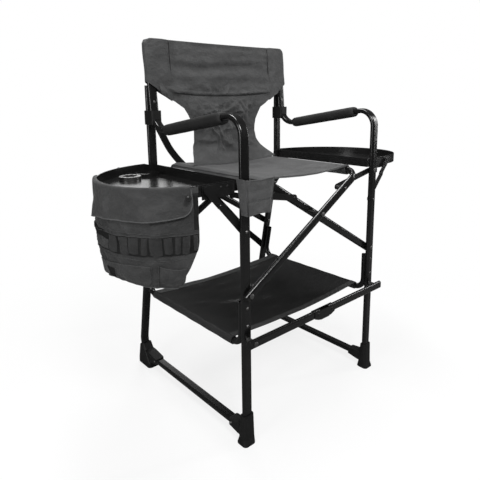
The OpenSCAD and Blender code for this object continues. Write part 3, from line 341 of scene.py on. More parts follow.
M = {
    "tube": coated("tube_black", 0.0055, 0.22, 0.42, 0.03),
    "rail": coated("tube_black_dusty", 0.0075, 0.26, 0.42, 0.03, 1.0),
    "flat": coated("flat_steel_black", 0.0065, 0.30, 0.34, 0.03, 0.7),
    "plastic": moulded("plastic_black", 0.0070, 0.50, 0.26),
    "tray": moulded("tray_black_gloss", 0.0085, 0.22, 0.50, 900, 0.06, 0.5),
    "ring": moulded("ring_black_gloss", 0.0085, 0.16, 0.55, 700, 0.08, 0.4),
    "steel": metal("rivet_steel", 0.20, 0.42),
    "trim": metal("trim_metal", 0.34, 0.28),
    "button": moulded("button_black", 0.012, 0.34, 0.45, 500, 0.2, 0.4),
    "foam": foam("foam_dark", 0.014),
    "canvas": canvas("canvas_charcoal", 0.056, 1.5, 1.2, 1.8),
    "seat": canvas("canvas_seat", 0.066, 1.5, 1.0, 0.6),
    "pouch": canvas("canvas_pouch", 0.028, 1.8, 1.8, 2.0),
    "loop": canvas("elastic_loop", 0.017, 1.2, 1.4, 1.2),
    "flap": canvas("canvas_flap", 0.034, 1.5, 1.6, 1.8),
    "phone": canvas("canvas_phone", 0.058, 1.5, 1.1, 1.3),
    "binding": canvas("binding_tape", 0.050, 1.0, 0.6, 0.3),
    "hem": canvas("hem_light", 0.080, 1.0, 0.6, 0.3),
    "elastic": webbing("elastic_black", 0.006),
    "strap": webbing("webbing_black", 0.008),
    "net": open_mesh("net_black", 0.006, 0.20),
    "net_solid": canvas("net_binding", 0.010, 1.2, 0.5, 0.6),
}


def paint(material, *nodes):
    for n in nodes:
        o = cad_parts[n]
        o.data.materials.clear()
        o.data.materials.append(M[material])


def both(*names):
    return [s + "_" + n for s in ("right", "left") for n in names]


paint("tube", *both("arm_tube", "shelf_rail"), "scissor_tube_a", "scissor_tube_b",
      *both("bar_half"))
paint("rail", *both("base_tube"))
paint("flat", *both("link", "stay_lower", "stay_upper", "hinge_brackets"), "bar_knee_plate")
paint("plastic", *both("front_foot", "rear_foot", "rear_clamp", "leg_plug", "bar_cap",
                       "tray_ears"), "arm_plugs_a", "arm_plugs_b")
paint("tray", *both("tray"))
paint("ring", "cup_ring")
paint("steel", *both("frame_bolts"), "cross_bolts", "arm_rivet_a", "arm_rivet_b")
paint("trim", "lobed_holder")
paint("button", "pouch_button")


# Mesh tools
def build(name, verts, faces, material, creases=40):
    me = bpy.data.meshes.new(name)
    me.from_pydata([tuple(v) for v in (np.asarray(verts, float) + OFF) / 1000], [], faces)
    me.validate()
    me.update()
    o = bpy.data.objects.new(name, me)
    bpy.context.scene.collection.objects.link(o)
    me.materials.append(M[material])
    for p in me.polygons:
        p.use_smooth = True
    me.set_sharp_from_angle(angle=math.radians(creases))
    return o


def normals_of(G, wrap):
    if wrap:
        dv = (np.roll(G, -1, 1) - np.roll(G, 1, 1)) / 2
    else:
        dv = np.gradient(G, axis=1)
    du = np.gradient(G, axis=0)
    n = np.cross(du, dv)
    return n / np.maximum(np.linalg.norm(n, axis=2, keepdims=True), 1e-9)


def shell_data(A, B, wrap=False):
    """Vertices and faces of the closed solid between two grids of points of one shape."""
    m, n = A.shape[:2]
    verts = np.concatenate([A.reshape(-1, 3), B.reshape(-1, 3)])
    k = m * n
    faces = []
    cols = n if wrap else n - 1
    for i in range(m - 1):
        for j in range(cols):
            a, b = i * n + j, i * n + (j + 1) % n
            c, d = b + n, a + n
            faces.append((a, d, c, b))
            faces.append((k + a, k + b, k + c, k + d))
    for j in range(cols):
        a, b = j, (j + 1) % n
        faces.append((a, b, k + b, k + a))
        a, b = (m - 1) * n + j, (m - 1) * n + (j + 1) % n
        faces.append((b, a, k + a, k + b))
    if not wrap:
        for i in range(m - 1):
            a, d = i * n, (i + 1) * n
            faces.append((d, a, k + a, k + d))
            a, d = i * n + n - 1, (i + 1) * n + n - 1
            faces.append((a, d, k + d, k + a))
    return verts, faces


def shell(name, A, B, material, wrap=False, creases=40):
    v, f = shell_data(A, B, wrap)
    return build(name, v, f, material, creases)


def cloth(name, G, t, material, wrap=False, creases=40):
    """A sheet of thickness t about the grid of points G."""
    G = np.asarray(G, float)
    N = normals_of(G, wrap) * (np.asarray(t, float)[..., None] / 2 if np.ndim(t) else t / 2)
    return shell(name, G - N, G + N, material, wrap, creases)


def joined(name, parts, material, creases=40):
    """One object of several (verts, faces)."""
    vs, fs, k = [], [], 0
    for v, f in parts:
        vs.append(v)
        fs += [tuple(i + k for i in g) for g in f]
        k += len(v)
    return build(name, np.concatenate(vs), fs, material, creases)


def strip_data(G, t, wrap=False):
    G = np.asarray(G, float)
    N = normals_of(G, wrap) * t / 2
    return shell_data(G - N, G + N, wrap)


def tube_data(path, r, sides=8):
    """A round tube along a path of points, with closed ends."""
    P = np.asarray(path, float)
    T = np.gradient(P, axis=0)
    T /= np.linalg.norm(T, axis=1, keepdims=True)
    ref = np.array([0.13, 0.31, 0.94])
    n1 = np.cross(T, ref)
    n1 /= np.linalg.norm(n1, axis=1, keepdims=True)
    n2 = np.cross(T, n1)
    r = np.asarray(r, float) * np.ones(len(P))
    rings = []
    for k in range(sides):
        a = 2 * math.pi * k / sides
        rings.append(P + (n1 * math.cos(a) + n2 * math.sin(a)) * r[:, None])
    V = np.stack(rings, 1)
    m = len(P)
    faces = []
    for i in range(m - 1):
        for k in range(sides):
            a, b = i * sides + k, i * sides + (k + 1) % sides
            faces.append((a, b, b + sides, a + sides))
    faces.append(tuple(reversed(range(sides))))
    faces.append(tuple((m - 1) * sides + k for k in range(sides)))
    return V.reshape(-1, 3), faces


def area_of(G):
    G = np.asarray(G, float) / 1000
    a = np.cross(G[1:, :-1] - G[:-1, :-1], G[:-1, 1:] - G[:-1, :-1])
    b = np.cross(G[1:, :-1] - G[1:, 1:], G[:-1, 1:] - G[1:, 1:])
    return (np.linalg.norm(a, axis=2).sum() + np.linalg.norm(b, axis=2).sum()) / 2


def span_of(G, axis):
    d = np.linalg.norm(np.diff(np.asarray(G, float) / 1000, axis=axis), axis=2)
    return float(d.sum(axis=axis).max())


def declare_sheet(G, wrap=False):
    G = np.asarray(G, float)
    if wrap:
        G = np.concatenate([G, G[:, :1]], 1)
    w, l, a = span_of(G, 1), span_of(G, 0), area_of(G)
    a = min(a, w * l)


# Back sling
BACK_TOP = 1122.0
# The cloth stands this far before the middle line of the posts
BACK_FRONT = 10.6
# It bellies rearwards by this much at the middle, and not at all from this half width outwards
BACK_BELLY = 13.0
BACK_HALF = 262.0
# Its right edge, which stays in place as the chair folds, and its left edge
BACK_EDGE = 258.0
# Place of the seat rails on each side of the middle plane
SEAT_RAIL_X = 175
# Half width of the back at each height: the wide panel, the neck and the spread over the seat
HALF = [[740, 186], [750, 176], [762, 164], [778, 150], [800, 138], [825, 134], [848, 136],
        [870, 143], [890, 153], [912, 167], [936, 206], [961, 256], [968, 260], [1130, 260]]


def belly_at(x):
    return (1 - min(1, abs(x) / BACK_HALF) ** 2) * BACK_BELLY


def seam_height(x):
    """Height of the bottom seam of the wide panel."""
    return 952 + 10 * (x / 200) ** 2


def seat_z(x):
    """Height of the seat, which sags between its rails."""
    t = np.clip((np.asarray(x, float) + SEAT_RAIL_X) / (2 * SEAT_RAIL_X), 0, 1)
    return 731.3 - 10 * 4 * t * (1 - t)


rows = np.concatenate([np.linspace(BACK_TOP, 975, 44), np.linspace(972.5, 890, 34),
                       np.linspace(887, 800, 30), np.linspace(797, 741, 20)])
cols = np.linspace(-1, 1, 121)
back = np.zeros((len(rows), len(cols), 3))
for i, z in enumerate(rows):
    w = float(table_at(z, HALF))
    x = cols * w
    y = np.full_like(x, post_y(z) - BACK_FRONT)
    slack = float(ease(985, 800, z))
    belly = 1 - np.clip(np.abs(x) / BACK_HALF, 0, 1) ** 2
    y = y + belly * (BACK_BELLY + 5 * slack)
    # The neck runs forward onto the seat
    run = float(ease(800, 741, z)) ** 1.6
    y = y - run * 46
    zz = np.full_like(x, z)
    low_z = seat_z(x) + 2.2
    k = float(ease(790, 741, z))
    zz = zz * (1 - k) + (low_z + (z - 741)) * k
    back[i, :, 0], back[i, :, 1], back[i, :, 2] = x, y, zz
X, Y, Z = back[..., 0], back[..., 1], back[..., 2]


def ridged(p, size, seed):
    """Noise with sharp crests, as in crumpled cloth: 0 in the valleys, 1 on a crest."""
    return (1 - np.abs(folds(p, size, seed)) * 2.2).clip(0, 1) ** 1.5


flat_p = np.stack([X, Y * 0, Z], -1)
pull = folds(flat_p, (190, 60, 16), 3)
soft = folds(flat_p, (80, 60, 60), 5)
bend = folds(flat_p, (75, 60, 75), 31) * 34
slant = np.stack([X + 0.7 * Z + bend, Y * 0, Z - 0.7 * X - bend], -1)
slant2 = np.stack([X - 0.5 * Z - bend, Y * 0, Z + 0.5 * X + bend], -1)
waist = ease(965, 905, Z) * ease(742, 780, Z)
edge_fade = ease(0, 14, BACK_TOP - Z)
back[..., 1] += (pull * 1.6 + soft * 5.0) * edge_fade * ease(741, 770, Z)
back[..., 1] -= waist * (1 - np.abs(cols)[None, :] ** 3) * (
    ridged(slant, (38, 60, 120), 8) * 9.5 + ridged(slant2, (46, 60, 110), 9) * 8.0
    + ridged(flat_p, (60, 60, 30), 10) * 5.5)
# A broad sideways hollow across the panel, as where a back has leaned
back[..., 1] += (10.0 * np.exp(-((Z - 1046 - 6 * np.sin(X / 90)) / 13) ** 2)
                 * ease(225, 90, np.abs(X + 10)))
back[..., 1] -= 2.6 * np.exp(-((Z - 1018) / 16) ** 2) * ease(225, 120, np.abs(X))
# Upright slack beside the pocket seams
back[..., 1] += (3.0 * folds(flat_p, (22, 60, 150), 14) * ease(130, 205, np.abs(X))
                 * ease(955, 985, Z) * edge_fade)
# Small tucks above the seam
back[..., 1] -= ridged(slant, (44, 60, 60), 17) * 6.0 * ease(1000, 968, Z) * ease(952, 960, Z)
# Bottom seam of the wide panel: a sharp groove under a puckered ridge
seam_z = seam_height(X)
pucker = 1 + 0.5 * folds(flat_p, (12, 60, 40), 19)
back[..., 1] -= 3.6 * pucker * np.exp(-((Z - seam_z - 6) / 4.5) ** 2) * ease(215, 170, np.abs(X))
back[..., 1] += 3.4 * np.exp(-((Z - seam_z + 2) / 2.6) ** 2) * ease(215, 170, np.abs(X))
thick = np.full(X.shape, 2.4)
thick += 1.6 * (ease(8, 2, BACK_TOP - Z)
                + ease(4, 1, np.abs(np.abs(cols)[None, :] - 1) * 150) * (Z < 960))
main_back = cloth("back_cloth", back, thick, "canvas")
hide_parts("back_sling")
declare_sheet(back)
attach(main_back, "right_frame")
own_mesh(main_back)

# Thread line sunk in the bottom seam
mid_row = [int(np.argmin(np.abs(rows - seam_height(x)))) for x in cols * 250]
seam_line = [tuple(back[i, j] - [0, 1.6, 0]) for j, i in enumerate(mid_row)
             if abs(cols[j] * 250) < 205]
seam = joined("back_seam_thread", [tube_data(seam_line, 0.9, 6)], "elastic")
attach(seam, "right_frame")
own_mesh(seam)

# Piping tube along the top edge
top_path = [[x, post_y(1124) - BACK_FRONT + belly_at(x), 1121.5]
            for x in np.linspace(-BACK_EDGE, BACK_EDGE, 60)]
hem = joined("back_top_hem", [tube_data(top_path, 2.6)], "canvas")
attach(hem, "right_frame")
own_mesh(hem)


def sleeve(s, name, body):
    """The wide pocket round a back post, stitched to the panel at its inner edge."""
    t_rows = np.linspace(0, 1, 44)
    # Places of its inner and outer edge across the chair, and the heights of their lower ends
    sleeve_in, sleeve_out, low_in, low_out = 213, 299, 936, 996
    # Section from the seam round the front, the outer side and the back: [x, depth]
    sec = [(213, 1.0), (216, -2.6), (226, -3.4), (240, -3.2), (254, -2.0), (264, -1.6), (272, -1.2),
           (282, -0.9), (291, -0.4), (296.5, 2.0), (299, 8.0), (298.6, 14.0), (295, 19.6),
           (288, 21.4), (278, 21.8), (268, 21.4), (258, 19.0), (246, 14.0), (232, 8.0), (220, 4.6)]
    G = np.zeros((len(t_rows), len(sec), 3))
    for j, (x, d) in enumerate(sec):
        zb = low_in + (x - sleeve_in) * (low_out - low_in) / (sleeve_out - sleeve_in)
        zt = BACK_TOP + 1 - 15 * float(ease(284, 299, x))
        for i, t in enumerate(t_rows):
            z = zb + (zt - zb) * t
            mid = post_y(z) - BACK_FRONT
            wob = 3.4 * noise.noise(Vector((x / 26 + s * 5, z / 52, 2.2)))
            wob += 1.8 * noise.noise(Vector((x / 12 - z / 40, z / 30, 6.1 + s)))
            wob *= 1.0 if x < BACK_HALF else 0.35
            ripple = 0.6 * math.sin(z / 14) if x > 290 else 0
            G[i, j] = (s * (x + ripple), mid + belly_at(x) + d + wob * 0.9, z)
    if s > 0:
        G = G[:, ::-1]
    o = cloth(name, G, 1.6, "canvas", wrap=True)
    declare_sheet(G, True)
    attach(o, body)
    # The top of the pocket is closed by a cap of the same cloth
    mid_line = G[-1].mean(axis=0)
    ring = G[-1]
    top = np.stack([ring, mid_line + (ring - mid_line) * 0.72 + [0, 0, 2.4],
                    mid_line + (ring - mid_line) * 0.3 + [0, 0, 3.0]], 0)
    cap = cloth(name + "_top", top, 1.4, "canvas", wrap=True)
    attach(cap, body)
    groove = [(s * 212.2, post_y(z) - BACK_FRONT + belly_at(212) - 2.2, z)
              for z in np.linspace(957, 1117, 60)]
    seam = joined(name + "_seam", [tube_data(groove, 0.9, 6)], "elastic")
    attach(seam, body)
    # Two rows of stitching beside the seam
    parts = []
    for dx in (3.0, 8.0):
        for k in range(44):
            z0 = 944 + k * 4.0
            if z0 > 1112:
                continue
            x = sleeve_in + dx
            pts = []
            for z in (z0, z0 + 1.3, z0 + 2.6):
                y = post_y(z) - BACK_FRONT + belly_at(x) - 3.9
                pts.append((s * x, y, z))
            parts.append(tube_data(pts, 0.35, 5))
    stitches = joined(name + "_stitches", parts, "hem")
    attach(stitches, body)


sleeve(-1, "back_sleeve_right", "right_frame")
sleeve(1, "back_sleeve_left", "left_frame")

# Seat
xs = np.linspace(-183, 183, 73)
ys = np.concatenate([np.linspace(22, 34, 7), np.linspace(40, 470, 62)])
seat = np.zeros((len(ys), len(xs), 3))
for i, y in enumerate(ys):
    z = seat_z(xs) - 0.5 * ease(175, 183, np.abs(xs)) * 14
    seat[i, :, 0], seat[i, :, 1], seat[i, :, 2] = xs, y, z
X, Y, Z = seat[..., 0], seat[..., 1], seat[..., 2]
mid = ease(172, 120, np.abs(X))
seat_p = np.stack([X + 0.3 * Y, Y - 0.2 * X, Z * 0], -1)
seat[..., 2] += mid * (folds(seat_p, (150, 36, 40), 11) * 3.0
                       + folds(seat_p, (60, 70, 40), 12) * 2.0)
seat[..., 2] += ridged(seat_p, (70, 40, 40), 13) * 1.6 * mid * ease(300, 420, Y)
seat[..., 2] += 1.6 * ease(40, 26, Y) * mid
thick = 2.4 + 2.2 * ease(36, 31, Y)
seat_cloth = cloth("seat_cloth", seat, thick, "seat")
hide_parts("seat_sling")
declare_sheet(seat)
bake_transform(seat_cloth)


def seat_sleeve(s, name, body, y0, y1):
    """Cloth tube round a seat rail."""
    sides = 36
    yy = np.linspace(y0, y1, 60)
    G = np.zeros((len(yy), sides, 3))
    tube_w, tube_t, tube_z = 24, 16, 715.4
    w, t = tube_w / 2 + 2.0, tube_t / 2 + 1.8
    across = np.array([-s * math.sin(RISE), math.cos(RISE)])
    along = np.array([s * math.cos(RISE), math.sin(RISE)])
    for k in range(sides):
        a = 2 * math.pi * k / sides
        c, d = math.cos(a), math.sin(a)
        u = math.copysign(abs(c) ** 0.75, c) * w
        v = math.copysign(abs(d) ** 0.75, d) * t
        px, pz = across * u + along * v
        for i, y in enumerate(yy):
            wob = 1 + 0.02 * math.sin(y / 11 + 3 * a) + 0.02 * math.sin(y / 29 - 2 * a)
            G[i, k] = (s * SEAT_RAIL_X + px * wob, y, tube_z + pz * wob)
    if s < 0:
        G = G[:, ::-1]
    o = cloth(name, G, 1.5, "seat", wrap=True)
    declare_sheet(G, True)
    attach(o, body)


seat_sleeve(1, "seat_sleeve_left", "scissor_a", 24, 418)
seat_sleeve(-1, "seat_sleeve_right", "scissor_b", 57, 474)

# Shelf
shelf_y = np.linspace(50, 466, 44)
# Half width of the net, and the middle and half of its depth from front to rear
SHELF_HALF = 281.0
SHELF_MID_Y, SHELF_HALF_Y = 258, 208
shelf_x = np.linspace(-SHELF_HALF, SHELF_HALF, 65)
shelf = np.zeros((len(shelf_y), len(shelf_x), 3))
for i, y in enumerate(shelf_y):
    t = (shelf_x + SHELF_HALF) / (2 * SHELF_HALF)
    sag_here = 16 * (1 - 0.25 * ((y - SHELF_MID_Y) / SHELF_HALF_Y) ** 2)
    shelf[i, :, 0], shelf[i, :, 1] = shelf_x, y
    shelf[i, :, 2] = 300.9 - sag_here * 4 * t * (1 - t)
X, Y = shelf[..., 0], shelf[..., 1]
shelf[..., 2] += ease(276, 200, np.abs(X)) * (
    folds(np.stack([X, Y, X * 0], -1), (90, 40, 40), 21) * 3.0)
net = cloth("shelf_net", shelf, 1.0, "net")
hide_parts("shelf_mesh")
declare_sheet(shelf)
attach(net, "right_frame")
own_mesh(net)
for name, a, b in (("shelf_front_hem", 0, 3), ("shelf_rear_hem", -4, None)):
    G = shelf[a:b].copy()
    G[..., 2] += 0.9
    h = cloth(name, G, 2.2, "net_solid")
    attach(h, "right_frame")
    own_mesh(h)
for s, body in ((-1, "right_frame"), (1, "left_frame")):
    sides = 28
    G = np.zeros((50, sides, 3))
    for i, y in enumerate(np.linspace(51, 465, 50)):
        for k in range(sides):
            a = 2 * math.pi * k / sides
            r = 11.2 + 0.35 * math.sin(y / 13 + 2 * a)
            G[i, k] = (s * SIDE + r * math.cos(a), y, 289 + r * math.sin(a))
    o = cloth("shelf_sleeve_" + body.split("_")[0], G, 1.4, "net_solid", wrap=True)
    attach(o, body)

# Arm grips
ARM_FALL = math.radians(9)
arm_start = np.array([57.82, 897.38])
arm_dir = np.array([math.cos(ARM_FALL), -math.sin(ARM_FALL)])
arm_up = np.array([math.sin(ARM_FALL), math.cos(ARM_FALL)])
for s, side in ((-1, "right"), (1, "left")):
    sides = 44
    squareness = 0.82
    ds = np.concatenate([[16, 16.4, 17.5, 20, 24, 30], np.linspace(38, 268, 40),
                         [276, 283, 287.5, 290, 291.4, 291.9]])
    G = np.zeros((len(ds), sides, 3))
    for i, d in enumerate(ds):
        e = min(d - 16, 292 - d)
        grow = 0.62 + 0.38 * math.sqrt(max(0, 1 - (1 - min(1, e / 13)) ** 2))
        c = arm_start + arm_dir * d
        for k in range(sides):
            a = 2 * math.pi * k / sides
            w = 5.0 + 15.0 * grow
            t = 3.5 + 13.4 * grow
            u = math.copysign(abs(math.cos(a)) ** squareness, math.cos(a)) * w
            v = math.copysign(abs(math.sin(a)) ** squareness, math.sin(a)) * t
            dent = 0.35 * math.sin(d / 19 + a * 2) + 0.25 * math.sin(d / 7 - a * 3)
            u *= 1 + dent / 60
            v *= 1 + dent / 60
            G[i, k] = (s * SIDE + u, c[0] + arm_up[0] * v, c[1] + arm_up[1] * v)
    inner = G.copy()
    for i, d in enumerate(ds):
        c = arm_start + arm_dir * d
        for k in range(sides):
            a = 2 * math.pi * k / sides
            u, v = 15.4 * math.cos(a), 7.9 * math.sin(a)
            v = math.copysign(min(7.9, abs(v) * 1.5), v)
            inner[i, k] = (s * SIDE + u, c[0] + arm_up[0] * v, c[1] + arm_up[1] * v)
    o = shell(side + "_grip_foam", G, inner, "foam", wrap=True, creases=60)
    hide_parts(side + "_arm_grip")
    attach(o, side + "_frame")

# Phone pouch
PHONE_TOP, PHONE_DROP = 746, 90


def phone_front(u, v, out):
    """u 0..1 from the leg's outer side inward, v 0..1 from top to bottom."""
    left = -299.0 + 9.0 * v ** 1.3
    right = -203.0 - 12.0 * v
    x = left + (right - left) * u
    z = (PHONE_TOP - PHONE_DROP * v + 3.5 * math.sin(u * math.pi) * v
         - 2.0 * (1 - v) * math.sin(u * math.pi))
    rim_in = min(u, 1 - u) * 96
    puff = 1 - (1 - min(1, rim_in / 16)) ** 2
    puff *= 1 - (1 - min(1, (1 - v) * PHONE_DROP / 18)) ** 2 * 0.9
    crease = 1.8 * math.exp(-((v - 0.62) / 0.035) ** 2) + 1.0 * math.exp(-((v - 0.30) / 0.05) ** 2)
    wob = 0.9 * math.sin(x / 13 + z / 21) + 0.7 * math.sin(x / 7 - z / 15)
    y = -27.4 - out * (1.2 + 5.0 * puff + wob * 0.6 - crease)
    if u < 0.12:
        y += (0.12 - u) / 0.12 * 2.6 * out
    return (x, y, z)


nu, nv = 44, 40
front_grid = np.array([[phone_front(u, v, 1) for u in np.linspace(0, 1, nu)]
                       for v in np.linspace(0, 1, nv)])
rear_grid = np.array([[phone_front(u, v, 0) for u in np.linspace(0, 1, nu)]
                      for v in np.linspace(0, 1, nv)])
phone = shell("phone_pouch_front", rear_grid, front_grid, "phone")
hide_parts("phone_pouch")
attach(phone, "right_frame")
side_rows = []
for v in np.linspace(0, 1, 20):
    z = PHONE_TOP - PHONE_DROP * v
    row = []
    for u in np.linspace(0, 1, 14):
        y = -29 + (38 - 18 * v) * u
        x = -297.6 - 1.5 * math.sin(u * math.pi) + 8.0 * v ** 1.3 * (1 - u) * 0.2
        row.append((x, y, z + 2.0 * math.sin(u * 3)))
    side_rows.append(row)
G = np.array(side_rows)
o = cloth("phone_pouch_side", G[:, ::-1], 1.8, "phone")
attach(o, "right_frame")
paths = [[phone_front(u, 0.0, 1) for u in np.linspace(0, 1, 30)],
         [phone_front(1, v, 0.7) for v in np.linspace(0, 1, 24)],
         [phone_front(u, 1.0, 0.8) for u in np.linspace(0, 1, 30)]]
o = joined("phone_pouch_binding", [tube_data(p, 1.7) for p in paths], "binding")
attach(o, "right_frame")

# Tool pouch
REAR_R, FRONT_R = 275.0, 160.0
REAR_TURN = math.radians(32)
REAR_ARC, FRONT_ARC = REAR_R * REAR_TURN, FRONT_R * math.pi / 2
FULL = REAR_ARC + FRONT_ARC
# Centres of the rim's two arcs: out from the side frame, and along the chair
REAR_U, REAR_Y = 4, 186
FRONT_U, FRONT_Y = 119, 182
# Height at which the pouch's face starts, under the rim, and about how far down it goes
POUCH_TOP, POUCH_DROP = 738, 248


def rim(s, out):
    """The place at length s along the tray's rim, out beyond it."""
    if s < REAR_ARC:
        a = REAR_TURN - s / REAR_R
        u, y = REAR_U + (REAR_R + out) * math.cos(a), REAR_Y + (REAR_R + out) * math.sin(a)
    elif s <= FULL:
        a = -(s - REAR_ARC) / FRONT_R
        u, y = FRONT_U + (FRONT_R + out) * math.cos(a), FRONT_Y + (FRONT_R + out) * math.sin(a)
    else:
        u, y = FRONT_U - (s - FULL), FRONT_Y - FRONT_R - out
    return -(SIDE + u), y


# How far the pouch's face stands out from the rim at a height: it hangs in under the tray
HANG = [[484, -12], [500, -10], [520, -6], [545, -1], [575, 3.5], [600, 5], [640, 6], [660, 5.5],
        [744, 5]]
# Height of the pouch's lower edge, by length along the rim
HEM = [[0, 496], [30, 491], [60, 492], [100, 500], [150, 507], [200, 509], [250, 505], [300, 498],
       [340, 491], [372, 497], [400, 520]]


def pouch_ends(z):
    """Where the pouch's face starts and stops along the rim at a height."""
    d = max(0.0, (POUCH_TOP - z) / 250)
    s0 = 2 + 14 * d ** 1.6
    s1 = FULL - 8 - 56 * max(0.0, (610 - z) / 120) ** 1.5
    return s0, s1


def pouch_out(s, z):
    """How far the pouch's face stands out from the tray's rim."""
    s0, s1 = pouch_ends(z)
    e = min(s - s0, s1 - s)
    edge = math.sqrt(max(0.0, 1 - (1 - min(1, max(0, e) / 12)) ** 2))
    drop = min(1, (744 - z) / 60)
    sag = (4.2 * noise.noise(Vector((s / 62, z / 44, 3.1)))
           + 2.6 * noise.noise(Vector((s / 26, z / 60, 7.7))))
    crease = 1 - abs(noise.noise(Vector(((s + z) / 46, (z - s) / 70, 1.3)))) * 3
    sag += 3.0 * max(0.0, crease) * float(ease(700, 640, z))
    return float(table_at(z, HANG)) - 3.0 * (1 - edge) + sag * drop * (0.3 + 0.7 * edge)


def pouch_low(s):
    return float(table_at(s, HEM)) + 1.5 * math.sin(s / 23)


nz, ns = 70, 150
outer = np.zeros((nz, ns, 3))
inner = np.zeros((nz, ns, 3))
for i in range(nz):
    v = i / (nz - 1)
    for j in range(ns):
        u = j / (ns - 1)
        z = POUCH_TOP - v * POUCH_DROP
        for _ in range(2):
            s0, s1 = pouch_ends(z)
            s = s0 + u * (s1 - s0)
            z = POUCH_TOP - v * (POUCH_TOP - pouch_low(s))
        x, y = rim(s, pouch_out(s, z))
        outer[i, j] = (x, y, z)
        x, y = rim(s, min(0.9 - 3.0 * float(ease(712, 690, z)), pouch_out(s, z) - 3.2))
        inner[i, j] = (x, y, z + 2 * v)
body_cloth = shell("pouch_body", inner, outer, "pouch", creases=50)
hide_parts("tool_pouch")


def on_pouch(s, z, lift):
    x, y = rim(s, pouch_out(s, z) + lift)
    return (x, y, z)


pieces = [body_cloth]


def pouch_sheet(name, s_range, z_top, z_low, lift, t, material, ns, nz):
    """A flat sewn piece that follows the pouch's face."""
    a, b = s_range
    G = np.zeros((nz, ns, 3))
    for j in range(ns):
        u = j / (ns - 1)
        for i in range(nz):
            v = i / (nz - 1)
            zt = z_top(u) if callable(z_top) else z_top
            zl = z_low(u) if callable(z_low) else z_low
            z = zt + (zl - zt) * v
            s = a + (b - a) * u
            G[i, j] = on_pouch(s, z, lift(u, v) if callable(lift) else lift)
    o = cloth(name, G, t, material, creases=50)
    pieces.append(o)
    return o, G


# Flap: over the rim and down to a rounded lower edge
FLAP_END = 376.0
# Height at which it turns down off the rim
FLAP_TOP = 738.5
# Height of the flap's lower edge, by length along the rim. It follows places that a program
# worked out from pixels picked in the photograph.
FLAP_LOW = [[0, 652], [40, 652], [100, 659], [155, 664], [200, 667], [266, 668], [330, 672],
            [350, 675], [400, 680]]


def flap_low(u):
    s = 2 + u * (FLAP_END - 2)
    low = float(table_at(s, FLAP_LOW))
    r = 24.0
    a = max(0.0, (s - (FLAP_END - r)) / r)
    b = max(0.0, (2 + 14 - s) / 14)
    return low + r * (1 - math.sqrt(max(0, 1 - min(1, a) ** 2))) + 8 * b ** 2


n_over = 6
ns, nz = 110, 34
G = np.zeros((nz + n_over, ns, 3))
for j in range(ns):
    u = j / (ns - 1)
    s = 2 + u * (FLAP_END - 2)
    top_out = pouch_out(s, 736) + 2.0
    for i in range(n_over):
        t = i / (n_over - 1)
        ang = t * math.pi / 2
        out = -3.4 + (top_out + 1.4) * math.sin(ang) ** 0.9 + 2.0 * t
        z = 744.6 + 0.8 * math.sin(t * math.pi) - 4.5 * (1 - math.cos(ang)) ** 2
        x, y = rim(s, out)
        G[i, j] = (x, y, z)
    zl = flap_low(u)
    for i in range(nz):
        v = (i + 1) / nz
        z = FLAP_TOP + (zl - FLAP_TOP) * v
        lift = 2.2 + 3.4 * v ** 3 + 0.8 * math.sin(u * 9) * v
        lift += 5.2 * min(1, 1.6 * v) * (noise.noise(Vector((s / 44, z / 80, 9.9))) + 0.35)
        lift = 2.0 + (lift - 2.0) * min(1.0, u / 0.14)
        G[n_over + i, j] = on_pouch(s + 11 * v * (1 - u) ** 6, z, lift)
flap = cloth("pouch_flap_cloth", G, 1.8, "flap", creases=60)
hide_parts("pouch_flap")
pieces.append(flap)
edge = ([tuple(G[i, 0]) for i in range(n_over, nz + n_over)]
        + [tuple(G[-1, j]) for j in range(1, ns)]
        + [tuple(G[i, -1]) for i in range(nz + n_over - 2, n_over - 1, -1)])
pieces.append(joined("flap_piping", [tube_data(edge, 1.7)], "hem"))
# Binding along the top under the rim
pouch_sheet("top_binding", (1.5, FULL - 9), 741, 727, 1.4, 1.4, "binding", 100, 6)

# Elastic loops of uneven width on a backing band that is black as painted shade for the slots between
# the loops
BAND_TOP = 630.0
LOOP_TOP, LOOP_LOW = 627.5, 588
# The backing's black is painted shade, seen through the gaps between the loops
pouch_sheet("loop_backing_slot_shade", (30, FULL - 14), BAND_TOP, 583, 0.9, 1.0, "elastic", 110, 8)
# Lengths along the rim of the slots between loops. The middle eight are not chosen by hand: a
# program worked them out from pixels picked in the photograph.
SLOTS = [167, 197, 227, 257, 277, 309, 332, 351, 374, 389]
loop_parts = []
for k, (a, b) in enumerate(zip(SLOTS[:-1], SLOTS[1:])):
    gap_a, gap_b = (1.6, 4.6, 2.0, 3.6, 1.8)[k % 5], (3.4, 1.8, 4.2, 2.0, 2.8)[k % 5]
    low_z = LOOP_LOW - 2.5 * math.sin(k * 2.1)
    G = np.zeros((12, 18, 3))
    for i in range(12):
        for j in range(18):
            t = j / 17
            w = i / 11
            lean = 2.2 * math.sin(k * 1.7) * w
            z = LOOP_TOP + (low_z - LOOP_TOP) * w - 2.2 * math.sin(math.pi * t) * w
            bulge = (3.6 * (1 - abs(2 * t - 1) ** 2.2)
                     * (0.35 + 0.65 * math.sin(math.pi * min(1, w * 1.15))))
            G[i, j] = on_pouch(a + gap_a + lean + (b - a - gap_a - gap_b) * t, z, 1.5 + bulge)
    loop_parts.append(strip_data(G, 1.3))
loops = joined("loop_elastic", loop_parts, "loop")
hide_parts("brush_loops")
pieces.append(loops)
pouch_sheet("loop_band_left", (34, 165), 612, LOOP_LOW,
            lambda u, v: 1.6 + 0.6 * math.sin(u * 17), 1.3, "pouch", 60, 6)
pts = [on_pouch(s, BAND_TOP - 9 * float(ease(170, 60, s)), 1.0)
       for s in np.linspace(30, FULL - 14, 120)]
pieces.append(joined("loop_tape", [tube_data(pts, 0.9, 6)], "binding"))

